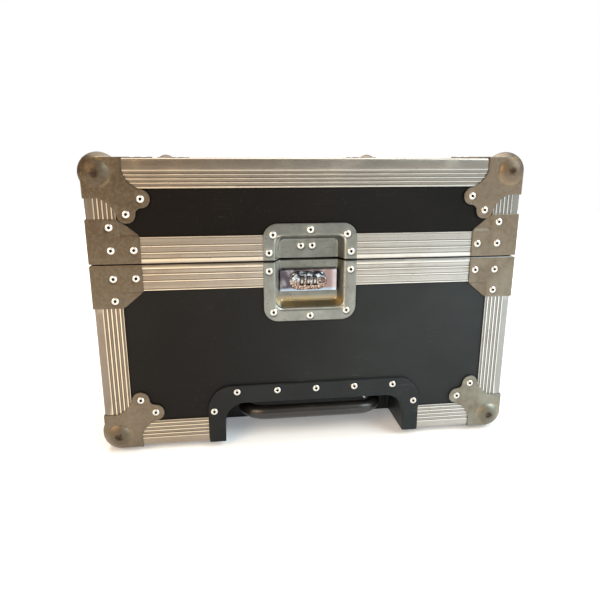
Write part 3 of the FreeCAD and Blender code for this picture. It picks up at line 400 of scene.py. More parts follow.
def plated(s, tone, dull, stain, rust, blotch_size, pitted):
    """Zinc-plated pressed steel with soft blotches, pits and rusted spots, and the painted shade, reflections
    and highlights that its marks ask for.
    """
    blotch = s.noise(blotch_size, 5.0, 0.62).between(0.34, 0.70)
    spangle = s.noise(240.0, 4.0, 0.6)
    pits = 1 - s.cells(260.0).between(0.08, 0.26)
    pits = pits * s.noise(60.0, 2.0).between(1 - pitted, 1.07 - pitted)
    wear, halo = s.mark("wear"), s.mark("halo")
    scar = (wear + s.noise(190.0, 6.0, 0.85) * 1.4 - 1.10).between(0.05, 0.50)
    shade = s.blend(blotch * (0.25 + pitted), tone, stain)
    shade = s.blend(spangle.between(0.40, 0.62) * 0.10, shade, SPANGLE)
    # Painted shade from the dish's marks: darker in its depth, along the seam and on the flange top.
    shade = s.blend((s.mark("grime") * 0.38).at_most(1.0), shade, tint(stain, 0.45))
    # Painted shade over the front of each ball.
    shade = s.blend(halo * 0.40, shade, HALO)
    # A painted brassy reflection in a ring round each ball.
    brass = s.mark("brass") * s.noise(75.0, 3.0, 0.6).between(0.42, 0.66)
    shade = s.blend(brass * 0.55, shade, BRASS)
    # A painted warm reflection on the dish's lower wall.
    shade = s.blend(s.mark("gold") * (0.45 + blotch * 0.4), shade, GOLD)
    # Painted light on the dish's left wall, and a painted highlight along its lip.
    shade = s.blend((s.mark("bright") * (0.35 + spangle * 0.9)).at_most(1.0), shade, PAINTED_LIGHT)
    shade = s.blend(scar * rust, shade, RUST)
    s.set("Metallic", 0.95 - blotch * 0.10 - pits * 0.5 - scar * 0.2)
    return s.done(s.blend(pits * 0.8, shade, PIT),
                  dull + blotch * 0.10 + spangle * 0.08 + pits * 0.2 + scar * 0.2 + halo * 0.10,
                  spangle * 0.5 - pits * 1.5 - scar * 1.2, 0.25, 0.0001)


def steel_finish():
    """Corner and brace steel, painted paler low down and towards the right: painted light."""
    left, right = paint("steel"), paint("steel_right")
    s = Sheet("worn_plated_steel", left, 0.85, 0.38)
    high = s.height()
    # Painted light: paler low down and to the right, darker and browner high up on the left.
    left_tone = s.blend(high, tint(left, 1.20), (0.088, 0.063, 0.038))
    right_tone = s.blend(high, tint(right, 1.15), (0.172, 0.130, 0.092))
    tone = s.blend(s.side(), left_tone, right_tone)
    return plated(s, tone, 0.38, (0.120, 0.093, 0.062), 0.9, 38.0, 0.45)


def zinc_finish():
    base = paint("zinc")
    s = Sheet("zinc_plate", base, 0.85, 0.26)
    # Painted light: darker to the left and lighter to the right.
    tone = s.blend(s.side(), tint(base, 0.80), tint(base, 1.16))
    return plated(s, tone, 0.26, (0.145, 0.152, 0.140), 0.5, 46.0, 0.52)


def chrome_finish():
    """Old chrome with painted reflections: dark on the left, pinker to the right, pale blue along the bottom
    and a painted highlight near the right end, with coppery speckles.
    """
    base = paint("chrome")
    low, high = cad("lock_face_plate")
    s = Sheet("chrome", base, 1.0, 0.10)
    across, up = s.part_of("X"), s.part_of("Z")
    cloud = s.noise(55.0, 3.0, 0.55) - 0.5
    smear = s.noise(150.0, 4.0, 0.65)
    speck = s.noise(420.0, 4.0, 0.7).between(0.58, 0.70)
    pits = s.noise(900.0, 3.0, 0.6).between(0.62, 0.70)
    right = (across + cloud * 0.05).between(low.x + 0.15 * (high.x - low.x), high.x)
    bottom = (up + cloud * 0.004).between(low.z + 1.5 * MM, low.z + 5.0 * MM)
    # Painted reflections: dark on the left, pinker to the right, pale blue along the bottom.
    shade = s.blend(right, (0.055, 0.050, 0.064), (0.22, 0.155, 0.145))
    shade = s.blend(bottom, (0.27, 0.33, 0.40), shade)
    # A painted highlight near the right end.
    end = across.between(high.x - 8 * MM, high.x - 2 * MM)
    shade = s.blend(end * (0.1 + smear * 0.6), shade, (0.55, 0.57, 0.62))
    shade = s.blend((cloud + 0.5).between(0.52, 0.75) * 0.5, shade, base)
    shade = s.blend(speck * 0.5, shade, (0.30, 0.15, 0.09))
    return s.done(s.blend(pits * 0.5, shade, (0.05, 0.035, 0.03)),
                  0.06 + smear * 0.08 + pits * 0.3,
                  smear + speck * 0.2, 0.30, 0.0004)


def bezel_finish():
    """Chrome on the lock's oval with painted reflections: pale and dark patches above, and a crazed coppery
    and dark pattern below.
    """
    low, high = cad("lock_bezel")
    s = Sheet("bezel_chrome", paint("chrome"), 1.0, 0.12)
    up = s.part_of("Z")
    craze = s.noise(520.0, 4.0, 0.75)
    cloud = s.noise(190.0, 3.0, 0.6)
    tall = high.z - low.z
    # Painted reflections: clear pale and dark patches on the upper part, a crazed coppery pattern on the
    # lower.
    upper = (up + (cloud - 0.5) * 0.008).between(low.z + 0.30 * tall, low.z + 0.75 * tall)
    coppery_reflection = s.blend(craze.between(0.44, 0.62), (0.05, 0.030, 0.022), (0.58, 0.44, 0.36))
    clear = s.blend(cloud.between(0.42, 0.66), (0.035, 0.038, 0.050), (0.58, 0.64, 0.70))
    shade = s.blend(upper, coppery_reflection, clear)
    return s.done(shade,
                  0.08 + craze * 0.12,
                  craze, 0.30, 0.0003)


def rivet_finish():
    base = paint("rivet")
    s = Sheet("rivet_aluminium", base, 1.0, 0.28)
    tone = s.noise(330.0, 4.0, 0.6)
    grime = s.noise(900.0, 3.0, 0.6).between(0.55, 0.72)
    return s.done(s.blend(grime * 0.35, base, (0.34, 0.29, 0.23)),
                  0.22 + tone * 0.18,
                  tone, 0.15, 0.00008)


def dark_finish():
    # Near black, as painted shade in the rivet holes.
    s = Sheet("mandrel", (0.010, 0.008, 0.006), 0.0, 0.7)
    tone = s.noise(1600.0, 3.0)
    s.set("Specular IOR Level", 0.2)
    return s.done(s.blend(tone, (0.006, 0.005, 0.004), (0.020, 0.014, 0.010)),
                  0.6 + tone * 0.3,
                  tone, 0.5, 0.0002)


def moulding_finish(name, left, right, rough, texture, shine):
    """Moulded plastic with a fine leather grain, between the paints of its left and its right: painted light,
    darker to the left and lighter and cooler to the right.
    """
    left, right = paint(left), paint(right)
    s = Sheet(name, left, 0.0, rough)
    leather = s.cells(900.0, feature="SMOOTH_F1")
    flow = s.noise(24.0, 4.0, 0.6)
    rub = s.scratches((0.3, 0.5, 0.9), 200.0, 0.006, 16.0, 0.42)
    grime = s.noise(90.0, 5.0, 0.7).between(0.55, 0.80)
    shade = s.blend(s.side(), left, right)
    lighter = s.blend(s.side(), tint(left, 1.5), tint(right, 1.4))
    shade = s.blend(flow.between(0.35, 0.7), shade, lighter)
    shade = s.blend(grime * 0.10, shade, (0.12, 0.105, 0.09))
    s.set("Specular IOR Level", shine)
    return s.done(s.blend(rub * 0.25, shade, (0.16, 0.16, 0.16)),
                  rough + flow * 0.08 + grime * 0.12,
                  leather * texture + flow * 0.3 - rub * 0.6, 0.22, 0.00012)


def metal_finish(name, base, rough, scale):
    """Plain metal with fine lines, drawn out as scale says, and a little dirt."""
    base = paint(base)
    s = Sheet(name, base, 1.0, rough)
    lines = s.noise(1.0, 3.0, 0.6, s.stretched(scale))
    grime = s.noise(140.0, 5.0, 0.65).between(0.52, 0.78)
    return s.done(s.blend(grime * 0.4, base, tint(base, 0.45)),
                  rough + lines * 0.12 + grime * 0.15,
                  lines, 0.15, 0.00006)


def rubber_finish():
    base = paint("rubber")
    s = Sheet("rubber", base, 0.0, 0.75)
    grain = s.noise(700.0, 4.0, 0.6)
    dust = s.noise(48.0, 5.0, 0.7).between(0.45, 0.75)
    return s.done(s.blend(dust * 0.35, base, (0.12, 0.11, 0.095)),
                  0.62 + grain * 0.25,
                  grain, 0.35, 0.0003)


def foam_finish():
    base = paint("foam")
    s = Sheet("foam", base, 0.0, 0.95)
    pores = s.cells(950.0)
    coarse = s.cells(420.0)
    lint = s.noise(30.0, 4.0, 0.6)
    s.set("Sheen Weight", 0.3)
    return s.done(s.blend(pores.between(0.1, 0.6), tint(base, 0.45), tint(base, 1.5)),
                  0.88 + lint * 0.1,
                  pores + coarse * 0.6, 0.7, 0.0009)


def board_finish():
    base = paint("board")
    s = Sheet("bare_plywood", base, 0.0, 0.65)
    grain = s.noise(1.0, 4.0, 0.6, s.stretched((160.0, 5.0, 160.0)))
    rings = s.noise(1.0, 2.0, 0.5, s.stretched((26.0, 2.0, 26.0)))
    shade = s.blend(rings.between(0.35, 0.65), tint(base, 0.78), base)
    return s.done(s.blend(grain.between(0.5, 0.8) * 0.5, shade, tint(base, 0.45)),
                  0.58 + grain * 0.2,
                  grain, 0.3, 0.0003)


# What makes each finish, and what it is made with
FINISHES = {
    "laminate": (laminate_finish, "black_laminate", "laminate", 0.13),
    # The lid takes a darker, less shiny copy of the base's laminate: painted shade.
    "lid_laminate": (laminate_finish, "lid_laminate", "lid_laminate", 0.095),
    "aluminium": (aluminium_finish,),
    "steel": (steel_finish,),
    "zinc": (zinc_finish,),
    "chrome": (chrome_finish,),
    "bezel": (bezel_finish,),
    "rivet": (rivet_finish,),
    "dark": (dark_finish,),
    "recess": (moulding_finish, "satin_moulding", "moulding", "moulding_right", 0.34, 0.5, 0.20),
    "grip": (moulding_finish, "smooth_moulding", "grip", "grip_right", 0.27, 0.15, 0.55),
    "hub": (moulding_finish, "hub_moulding", "hub", "hub", 0.42, 0.4, 0.45),
    "tube": (metal_finish, "drawn_tube", "tube", 0.22, (1800.0, 8.0, 1800.0)),
    "iron": (metal_finish, "bare_steel", "iron", 0.34, (900.0, 900.0, 900.0)),
    "black_steel": (metal_finish, "blackened_steel", "black_steel", 0.45, (900.0, 900.0, 900.0)),
    "dial": (metal_finish, "dial_metal", "dial", 0.24, (90.0, 2500.0, 2500.0)),
    "rubber": (rubber_finish,),
    "foam": (foam_finish,),
    "board": (board_finish,),
}
made_finishes = {}


def finish(name):
    if name not in made_finishes:
        maker, *given = FINISHES[name]
        made_finishes[name] = maker(*given)
    return made_finishes[name]


# ------------------------------------------------------------------ mesh building

def rounded_path(corners, steps=5, closed=True):
    """Points round (a, b, radius) corners, with an arc of that radius at each."""
    points = []
    count = len(corners)
    for i, (a, b, radius) in enumerate(corners):
        here = Vector((a, b))
        if not radius or (not closed and i in (0, count - 1)):
            points.append((a, b))
            continue
        back = (Vector(corners[i - 1][:2]) - here).normalized()
        ahead = (Vector(corners[(i + 1) % count][:2]) - here).normalized()
        half = back.angle(ahead) / 2
        centre = here + (back + ahead).normalized() * (radius / math.sin(half))
        start = here + back * (radius / math.tan(half)) - centre
        end = here + ahead * (radius / math.tan(half)) - centre
        sweep = start.angle_signed(end)
        for k in range(steps + 1):
            turned = Matrix.Rotation(-sweep * k / steps, 2) @ start
            points.append(tuple(centre + turned))
    return points


def rectangle(a0, a1, b0, b1, radius, steps):
    corners = ((a0, b0, radius), (a1, b0, radius), (a1, b1, radius), (a0, b1, radius))
    return rounded_path(corners, steps)


def front_ring(far, a0, a1, b0, b1, radius, steps):
    """A rounded rectangle that faces the front, at depth far."""
    return [Vector((a, far, b)) for a, b in rectangle(a0, a1, b0, b1, radius, steps)]


def inset_ring(far, low, high, inset, radius, steps):
    """A front ring that lies inside a box's outline."""
    return front_ring(far, low.x + inset, high.x - inset, low.z + inset, high.z - inset, radius, steps)


def circle(radius, steps):
    return [(radius * math.cos(TURN * k / steps), radius * math.sin(TURN * k / steps)) for k in range(steps)]


def ramp(value, low, high):
    """0 at low and 1 at high, and no further either way."""
    return max(0.0, min(1.0, (value - low) / (high - low)))


class Shape:
    """Points and faces being put together, in metres in the frame."""

    def __init__(self):
        self.points = []
        self.faces = []
        self.marks = []
        self.lay = []
        self.groove = []

    def ring(self, points, lay=None, groove=None):
        first = len(self.points)
        self.points += [Vector(p) for p in points]
        self.lay += lay or [(0.0, 0.0, 0.0)] * len(points)
        self.groove += groove or [0.0] * len(points)
        return list(range(first, len(self.points)))

    def face(self, corners, mark=0):
        self.faces.append(corners)
        self.marks.append(mark)

    def bridge(self, first, second, mark=0, closed=True):
        count = len(first)
        for i in range(count if closed else count - 1):
            j = (i + 1) % count
            self.face([first[i], first[j], second[j], second[i]], mark)

    def loft(self, rings, mark=0):
        made = [self.ring(r) for r in rings]
        for first, second in zip(made, made[1:]):
            self.bridge(first, second, mark)
        return made

    def fill(self, loops, mark=0):
        """Fills a flat outline; the loops after the first are holes in it."""
        order = [i for loop in loops for i in loop]
        for triangle in tessellate_polygon([[self.points[i] for i in loop] for loop in loops]):
            self.face([order[i] for i in triangle], mark)

    def lathe(self, profile, centre, axis, steps, mark=0):
        """Turns (radius, distance) points about an axis."""
        turn = Vector((0, 0, 1)).rotation_difference(Vector(axis)).to_matrix()
        return self.loft([[Vector(centre) + turn @ Vector((a, b, far)) for a, b in circle(radius, steps)]
                          for radius, far in profile], mark)

    def turned(self, profile, centre, axis, steps):
        """Turns a closed profile about an axis."""
        made = self.lathe(profile, centre, axis, steps)
        self.bridge(made[-1], made[0])

    def sweep(self, path, section, up):
        """Carries a section along a path; a section's first axis is across it and its second along up."""
        rings = []
        last = len(path) - 1
        for i, here in enumerate(path):
            along = (path[min(i + 1, last)] - path[max(i - 1, 0)]).normalized()
            across = along.cross(Vector(up)).normalized()
            lift = across.cross(along)
            outline = section(i / last) if callable(section) else section
            rings.append([here + across * a + lift * b for a, b in outline])
        made = self.loft(rings)
        self.face(made[0][::-1])
        self.face(made[-1])


def link(name, mesh, materials):
    piece = bpy.data.objects.new(name, mesh)
    bpy.context.scene.collection.objects.link(piece)
    for material in materials:
        mesh.materials.append(finish(material))
    return piece


def settle(piece, body, nodes):
    """Puts a finished piece on its body, and hides the frame nodes it stands for."""
    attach(piece, body)
    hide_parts(*nodes)
    return piece


def reworked(mesh, work):
    """The mesh after a function has worked on it as a bmesh."""
    build = bmesh.new()
    build.from_mesh(mesh)
    work(build)
    build.to_mesh(mesh)
    build.free()
    return mesh


def make_mesh(name, shape, sharp=32.0):
    mesh = bpy.data.meshes.new(name)
    mesh.from_pydata([p[:] for p in shape.points], [], shape.faces)
    mesh.polygons.foreach_set("material_index", shape.marks)
    lay = mesh.attributes.new("lay", "FLOAT_VECTOR", "POINT")
    lay.data.foreach_set("vector", [c for v in shape.lay for c in v])
    # groove holds painted shade above 0 and painted highlight below 0.
    groove = mesh.attributes.new("groove", "FLOAT", "POINT")
    groove.data.foreach_set("value", shape.groove)

    def clean(build):
        bmesh.ops.dissolve_degenerate(build, edges=build.edges, dist=TOUCHING)
        bmesh.ops.recalc_face_normals(build, faces=build.faces)
    reworked(mesh, clean)
    smooth(mesh, sharp)
    return mesh


def smooth(mesh, sharp):
    mesh.shade_smooth()
    mesh.set_sharp_from_angle(angle=math.radians(sharp))


def make_piece(name, shape, materials, body, nodes, sharp):
    piece = link(name, make_mesh(name, shape, sharp), materials)
    return settle(piece, body, nodes)


def thicken(piece):
    """Gives a pressed skin the thickness of the sheet."""
    solid = piece.modifiers.new("sheet", "SOLIDIFY")
    solid.thickness = sizes().sheet
    solid.offset = -1.0


def applied(piece, name):
    """The piece's mesh with its modifiers applied, on the same object."""
    bpy.context.view_layer.update()
    graph = bpy.context.evaluated_depsgraph_get()
    mesh = bpy.data.meshes.new_from_object(piece.evaluated_get(graph))
    mesh.name = name
    old = piece.data
    piece.modifiers.clear()
    piece.data = mesh
    bpy.data.meshes.remove(old)
    return piece


def pressed(name, mesh, step, passes, material):
    """A mesh reskinned at an even step and eased, as sheet takes a bend."""
    piece = link(name, mesh, [])
    skin = piece.modifiers.new("skin", "REMESH")
    skin.mode = "VOXEL"
    skin.voxel_size = step
    skin.use_smooth_shade = True
    ease = piece.modifiers.new("ease", "SMOOTH")
    ease.factor = 0.5
    ease.iterations = passes
    applied(piece, name)
    piece.data.materials.clear()
    piece.data.materials.append(finish(material))
    return piece


def frame_mesh(node):
    """A copy of a frame node's mesh, with its faces joined up again."""
    return reworked(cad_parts[node].data.copy(),
                    lambda build: bmesh.ops.remove_doubles(build, verts=build.verts, dist=TOUCHING))


def keep_nodes(names, material, eased=0.0):
    """Frame nodes whose shape stands take their finish, and small bevels where asked."""
    for name in names:
        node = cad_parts[name]
        node.data.materials.clear()
        node.data.materials.append(finish(material))
        if eased:
            bevel = node.modifiers.new("edge", "BEVEL")
            bevel.width = eased
            bevel.segments = 2
            bevel.limit_method = "ANGLE"
            bevel.angle_limit = math.radians(35.0)
            bevel.harden_normals = True


# ------------------------------------------------------------------ rivets

def rivet_places(node):
    """Where each rivet of a node sits: the middle of its seat and the way its head points."""
    build = bmesh.new()
    build.from_mesh(frame_mesh(node))
    seen = set()
    places = []
    body_radius = 3.2 * MM
    for start in build.verts:
        if start.index in seen:
            continue
        island, queue = [], [start]
        seen.add(start.index)
        while queue:
            vert = queue.pop()
            island.append(vert.co.copy())
            for edge in vert.link_edges:
                other = edge.other_vert(vert)
                if other.index not in seen:
                    seen.add(other.index)
                    queue.append(other)
        low = Vector([min(p[k] for p in island) for k in range(3)])
        high = Vector([max(p[k] for p in island) for k in range(3)])
        size, middle = high - low, (low + high) / 2
        widths = [abs(size[k] - size[(k + 1) % 3]) for k in range(3)]
        axis = (widths.index(min(widths)) + 2) % 3
        wide = [p[axis] for p in island
                if max(abs(p[k] - middle[k]) for k in range(3) if k != axis) > body_radius]
        seat = sum(wide) / len(wide)
        outward = 1.0 if abs(seat - high[axis]) < abs(seat - low[axis]) else -1.0
        point = middle.copy()
        point[axis] = seat
        normal = Vector((0, 0, 0))
        normal[axis] = outward
        places.append((point, normal))
    build.free()
    return places


RIVETS = {body: rivet_places(body + "_rivets") for body in BODIES}


def add_rivet(shape, point, normal, spin):
    """One blind rivet: a domed flange, the rolled rim of its hole, and the broken mandrel inside."""
    s = sizes()
    head, hole = s.rivet_radius, s.rivet_hole
    seat = Vector(point) - normal * s.dimple * 0.9
    lean = Vector(normal)
    for axis in range(3):
        if not normal[axis]:
            lean[axis] += 0.02 * math.sin(spin * (axis + 2.3))
    rise = 1.1 * MM
    dome = [(head, -0.4 * MM), (head, 0.15 * MM), (head * 0.95, 0.42 * rise), (head * 0.80, 0.72 * rise),
            (head * 0.60, 0.93 * rise), (hole + 0.7 * MM, rise), (hole + 0.25 * MM, 0.94 * rise),
            (hole, 0.70 * rise)]
    rings = shape.lathe(dome, seat, lean.normalized(), 20)
    # The hole and the mandrel's end take the near-black finish: painted shade.
    well = [(hole, 0.70 * rise), (hole * 0.98, 0.05 * MM), (hole * 0.5, 0.02 * MM), (hole * 0.2, 0.12 * MM)]
    inner = shape.lathe(well, seat, lean.normalized(), 20, 1)
    shape.face(inner[-1], 1)
    shape.face(rings[0][::-1])


class CASE_OT_rivets(bpy.types.Operator):
    """Sets the blind rivets of the base and the lid"""
    bl_idname = "case.rivets"
    bl_label = "Rivets"

    def execute(self, context):
        for body in BODIES:
            shape = Shape()
            for i, (point, normal) in enumerate(RIVETS[body]):
                add_rivet(shape, point, normal, i * 1.7)
            make_piece(body + "_blind_rivets", shape, ["rivet", "dark"], body,
                       [body + "_rivets"], 40.0)
        return {"FINISHED"}


# ------------------------------------------------------------------ drawn profiles

def fluted(cuts):
    """Points along a fluted face, each with its depth from 0 to 1 and a number for painted shade above 0 and
    painted highlight below 0.
    """
    points = []
    for start, end in cuts:
        for place, depth, shade_and_highlight in ((start - 0.35, 0.0, -0.7), (start, 0.06, -0.7), (start + 0.25, 0.75, 1.0),
                                   (start + 0.55, 1.0, 1.0), (start + 1.1, 1.0, 0.15), (end - 1.1, 1.0, 0.15),
                                   (end - 0.55, 1.0, 1.0), (end - 0.25, 0.75, 1.0), (end, 0.06, -0.7),
                                   (end + 0.35, 0.0, -0.7)):
            points.append((place, depth, shade_and_highlight))
    return points


def angle_section(cuts):
    """Outline of an edge angle as (a, b, groove), in millimetres; groove is painted shade above 0 and painted
    highlight below 0.
    """
    along = [(0.85 * cuts[0][0], 0.0, 0.0)] + fluted(cuts)
    nose = rounded_path(((0, 12, 0), (0, 0, 2.6), (12, 0, 0)), 5, False)[1:-1]
    leg = ANGLE_LEG
    section = [(a, b, 0.0) for a, b in nose]
    section += [(a, d * FLUTE_DEPTH, g) for a, d, g in along]
    section += [(leg - 0.1, 0.1, -0.5), (leg, 0.3, 0), (leg, WALL, 0), (WALL, WALL, 0), (WALL, leg, 0),
                (0.3, leg, 0), (0.1, leg - 0.1, -0.5)]
    section += [(d * FLUTE_DEPTH, a, g) for a, d, g in reversed(along)]
    return section


def rim_section(lid):
    """Outline of a rim profile: a is the depth from the outer face and b the distance from the rim."""
    if lid:
        start, end, rise = TONGUE
        mouth = ((start, 0), (start, 0.6 - rise), (start + 0.6, -rise), (end - 0.6, -rise),
                 (end, 0.6 - rise), (end, 0))
    else:
        start, end, sink = GROOVE
        mouth = ((start, 0), (start, sink), (end, sink), (end, 0))
    inner, panel = RIM_DEPTH, RIM_DEPTH - WALL
    # Painted shade at the mouth and at the nose next to it, and a painted highlight at the end of the leg.
    mouth = [(a, b, MOUTH_SHADE) for a, b in mouth]
    section = [(0, 0.5, 0), (0.15, 0.15, 0.2), (0.5, 0, 1.2)] + mouth
    section += [(inner - 0.4, 0, 0), (inner, 0.4, 0), (inner, RIM_INNER_LEG, 0), (panel, RIM_INNER_LEG, 0),
                (panel, RIM_WEB, 0), (WALL, RIM_WEB, 0), (WALL, RIM_LEG, 0), (0.3, RIM_LEG, 0),
                (0.1, RIM_LEG - 0.1, -0.5)]
    section += [(d * FLUTE_DEPTH, b, g) for b, d, g in reversed(fluted(RIM_FLUTES))]
    return section


# dull flags a post, which the aluminium paints darker: painted shade.
def strip(shape, section, place, start, end, dull=0.0):
    """Draws a section from start to end; both may depend on a, for a mitre."""
    rings = []
    steps = 6
    for k in range(steps + 1):
        points, lay = [], []
        across = 0.0
        before = section[0]
        for a, b, _ in section:
            first = start(a) if callable(start) else start
            last = end(a) if callable(end) else end
            run = first + (last - first) * k / steps
            points.append(place(a * MM, b * MM, run))
            across += math.hypot(a - before[0], b - before[1]) * MM
            before = (a, b)
            lay.append((run, across, dull))
        rings.append(shape.ring(points, lay, [g for _, _, g in section]))
    for first, second in zip(rings, rings[1:]):
        shape.bridge(first, second)
    for end_ring in (rings[0], rings[-1]):
        shape.fill([end_ring])


def along_x(depth, up):
    """Placement of a run along X, with a and b measured as two (start, way) pairs say."""
    return lambda a, b, run: Vector((run, depth[0] + depth[1] * a, up[0] + up[1] * b))


def along_y(side, up):
    return lambda a, b, run: Vector((side[0] + side[1] * a, run, up[0] + up[1] * b))


def along_z(side, depth):
    return lambda a, b, run: Vector((side[0] + side[1] * a, depth[0] + depth[1] * b, run))


def mitre(side):
    """An end cut at 45 degrees, measured from a (start, way) pair."""
    return lambda a: side[0] + side[1] * a * MM


def spans(start, end, gaps):
    """What is left of a run once the gaps are taken out."""
    runs = []
    here = start
    for low, high in sorted(gaps):
        runs.append((here, low))
        here = high
    runs.append((here, end))
    return runs


class CASE_OT_edges(bpy.types.Operator):
    """Draws the ridged aluminium angles along the edges of the case"""
    bl_idname = "case.edges"
    bl_label = "Edge angles"

    def execute(self, context):
        end, rim = (ANGLE_LEG + 0.2) * MM, (RIM_LEG + 0.1) * MM
        gap = 0.3 * MM
        openings = [cad(node) for node in ("handle_recess", "wheel_well_left", "wheel_well_right")]
        recess, *wells = [(low.x - gap, high.x + gap) for low, high in openings]
        plan = (("base", ANGLE_FLUTES, AT_BOTTOM, [recess], wells, (BOTTOM + end, BASE_RIM - rim)),
                ("lid", TOP_FLUTES, AT_TOP, [], [], (LID_RIM + rim, TOP - end)))
        for body, flutes, up, front_gaps, rear_gaps, posts in plan:
            shape = Shape()
            section = angle_section(flutes)
            for depth, gaps in ((AT_FRONT, front_gaps), (AT_REAR, rear_gaps)):
                for start, stop in spans(LEFT + end, RIGHT - end, gaps):
                    strip(shape, section, along_x(depth, up), start, stop)
            for side in (AT_LEFT, AT_RIGHT):
                strip(shape, section, along_y(side, up), FRONT + end, REAR - end)
                for depth in (AT_FRONT, AT_REAR):
                    # The posts are flagged for their painted shade.
                    strip(shape, angle_section(ANGLE_FLUTES), along_z(side, depth), *posts, dull=1.0)
            make_piece(body + "_edges", shape, ["aluminium"], body,
                       [body + "_edge_angles"], 24.0)
        return {"FINISHED"}


class CASE_OT_rims(bpy.types.Operator):
    """Draws the mitred profiles round the mouths of the base and the lid"""
    bl_idname = "case.rims"
    bl_label = "Rim profiles"

    def execute(self, context):
        dish_low, dish_high = cad("latch_dish_upper")
        inset = 11 * MM
        for body, up in (("base", (BASE_RIM, -1)), ("lid", (LID_RIM, 1))):
            section = rim_section(body == "lid")
            shape = Shape()
            strip(shape, section, along_x(AT_FRONT, up), mitre(AT_LEFT), dish_low.x + inset)
            strip(shape, section, along_x(AT_FRONT, up), dish_high.x - inset, mitre(AT_RIGHT))
            strip(shape, section, along_x(AT_REAR, up), mitre(AT_LEFT), mitre(AT_RIGHT))
            for side in (AT_LEFT, AT_RIGHT):
                strip(shape, section, along_y(side, up), mitre(AT_FRONT), mitre(AT_REAR))
            make_piece(body + "_rims", shape, ["aluminium"], body,
                       [body + "_rim_profiles"], 24.0)
        return {"FINISHED"}


# ------------------------------------------------------------------ pressed steel

def dimpled(mesh, body, reach=6.4 * MM):
    """Draws the sheet in a little round each rivet."""
    depth, seat, thick, cell = sizes().dimple, 3.6 * MM, 2.2 * MM, 10 * MM

    def address(point):
        return round(point.x / cell), round(point.y / cell), round(point.z / cell)
    near = {}
    for place, normal in RIVETS[body]:
        for step in itertools.product((-1, 0, 1), repeat=3):
            key = tuple(home + away for home, away in zip(address(place), step))
            near.setdefault(key, []).append((place, normal))
    for vert in mesh.vertices:
        for place, normal in near.get(address(vert.co), ()):
            away = vert.co - place
            height = away.dot(normal)
            spread = (away - normal * height).length
            if abs(height) < thick and spread < reach:
                t = ramp(spread, reach, seat)
                vert.co = vert.co - normal * depth * t * t * (3 - 2 * t)
                break


def mark(mesh, name, amount):
    """Keeps a number for each point of a mesh, such as its wear or its painted shade."""
    values = mesh.attributes.new(name, "FLOAT", "POINT")
    values.data.foreach_set("value", [amount(v.co) for v in mesh.vertices])


def corner_offsets(point):
    """How far a point lies in from the three faces at the nearest corner of the case."""
    return Vector((min(point.x - LEFT, RIGHT - point.x), min(point.y - FRONT, REAR - point.y),
                   min(point.z - BOTTOM, TOP - point.z)))


class CASE_OT_corners(bpy.types.Operator):
    """Presses the ball corners, with round balls and dimpled rivet seats"""
    bl_idname = "case.corners"
    bl_label = "Ball corners"

    def execute(self, context):
        s = sizes()
        centre = Vector((s.ball_inset,) * 3)
        middle = ((LEFT + RIGHT) / 2, (FRONT + REAR) / 2, (BOTTOM + TOP) / 2)
        proud, near_ball = -1.6 * MM, 1.2 * MM
        for body in BODIES:
            node = body + "_ball_corners"
            piece = pressed(body + "_corners", frame_mesh(node), s.skin_step, 3, "steel")
            mesh = piece.data
            for vert in mesh.vertices:
                offsets = corner_offsets(vert.co)
                away = offsets - centre
                if min(offsets) < proud and abs(away.length - s.ball_radius) < near_ball:
                    shift = away.normalized() * s.ball_radius - away
                    for axis in range(3):
                        vert.co[axis] += shift[axis] * (1 if vert.co[axis] < middle[axis] else -1)
            dimpled(mesh, body)

            def pole(point):
                """1 where the ball stands furthest out of a face, and falling away round it."""
                away = corner_offsets(point) - centre
                if abs(away.length - s.ball_radius) > 1.4 * MM or min(corner_offsets(point)) > 0.2 * MM:
                    return 0.0
                return max(-away[k] for k in range(3)) / s.ball_radius
            # The first mark is a rust scar at each pole, the second painted shade over the ball's front, the
            # third a painted brassy reflection in a ring round it.
            mark(mesh, "wear", lambda point: 0.85 * ramp(pole(point), 0.91, 1.0))
            mark(mesh, "halo", lambda point: ramp(pole(point), 0.80, 0.93))
            mark(mesh, "brass",
                 lambda point: ramp(pole(point), 0.62, 0.70) * (1 - ramp(pole(point), 0.72, 0.80)))
            smooth(mesh, 50.0)
            settle(piece, body, [node])
        return {"FINISHED"}


class CASE_OT_braces(bpy.types.Operator):
    """Presses the braces that wrap the upright edges at the split"""
    bl_idname = "case.braces"
    bl_label = "Corner braces"

    def execute(self, context):
        for body in BODIES:
            node = body + "_corner_braces"
            piece = pressed(body + "_braces", frame_mesh(node), sizes().skin_step, 3, "steel")
            dimpled(piece.data, body)
            smooth(piece.data, 50.0)
            settle(piece, body, [node])
        return {"FINISHED"}


def dish_shape(place, flange, flange_corner, lip, lip_corner, floor, floor_corner, depth, bend, works=None):
    """A pressed dish: a flat flange, a rolled lip, walls that lean in, and a floor."""
    sheet = sizes().sheet
    lean = floor[0] - lip[0]
    edge = 0.4 * MM
    tightest = 1.5 * MM
    shape = Shape()

    def ring(box, corner, far):
        return [place(a, b, far) for a, b in rectangle(*box, corner, 9)]
    inner = (flange[0] + edge, flange[1] - edge, flange[2] + edge, flange[3] - edge)
    rings = [ring(flange, flange_corner, -0.1 * sheet), ring(flange, flange_corner, edge - sheet),
             ring(inner, flange_corner - edge, -sheet)]
    path = rounded_path(((-bend * 2.2, -sheet, 0), (0, -sheet, bend), (lean, depth, bend * 0.8),
                         (lean + bend * 2, depth, 0)), 6, False)
    for inset, far in path:
        t = inset / lean
        box = [start + (end - start) * t for start, end in zip(lip, floor)]
        rings.append(ring(box, max(tightest, lip_corner + (floor_corner - lip_corner) * t), far))
    made = shape.loft(rings)
    if works:
        shape.bridge(made[-1], shape.ring(ring(works, 1.0 * MM, depth)))
    else:
        shape.face(made[-1])
    return shape


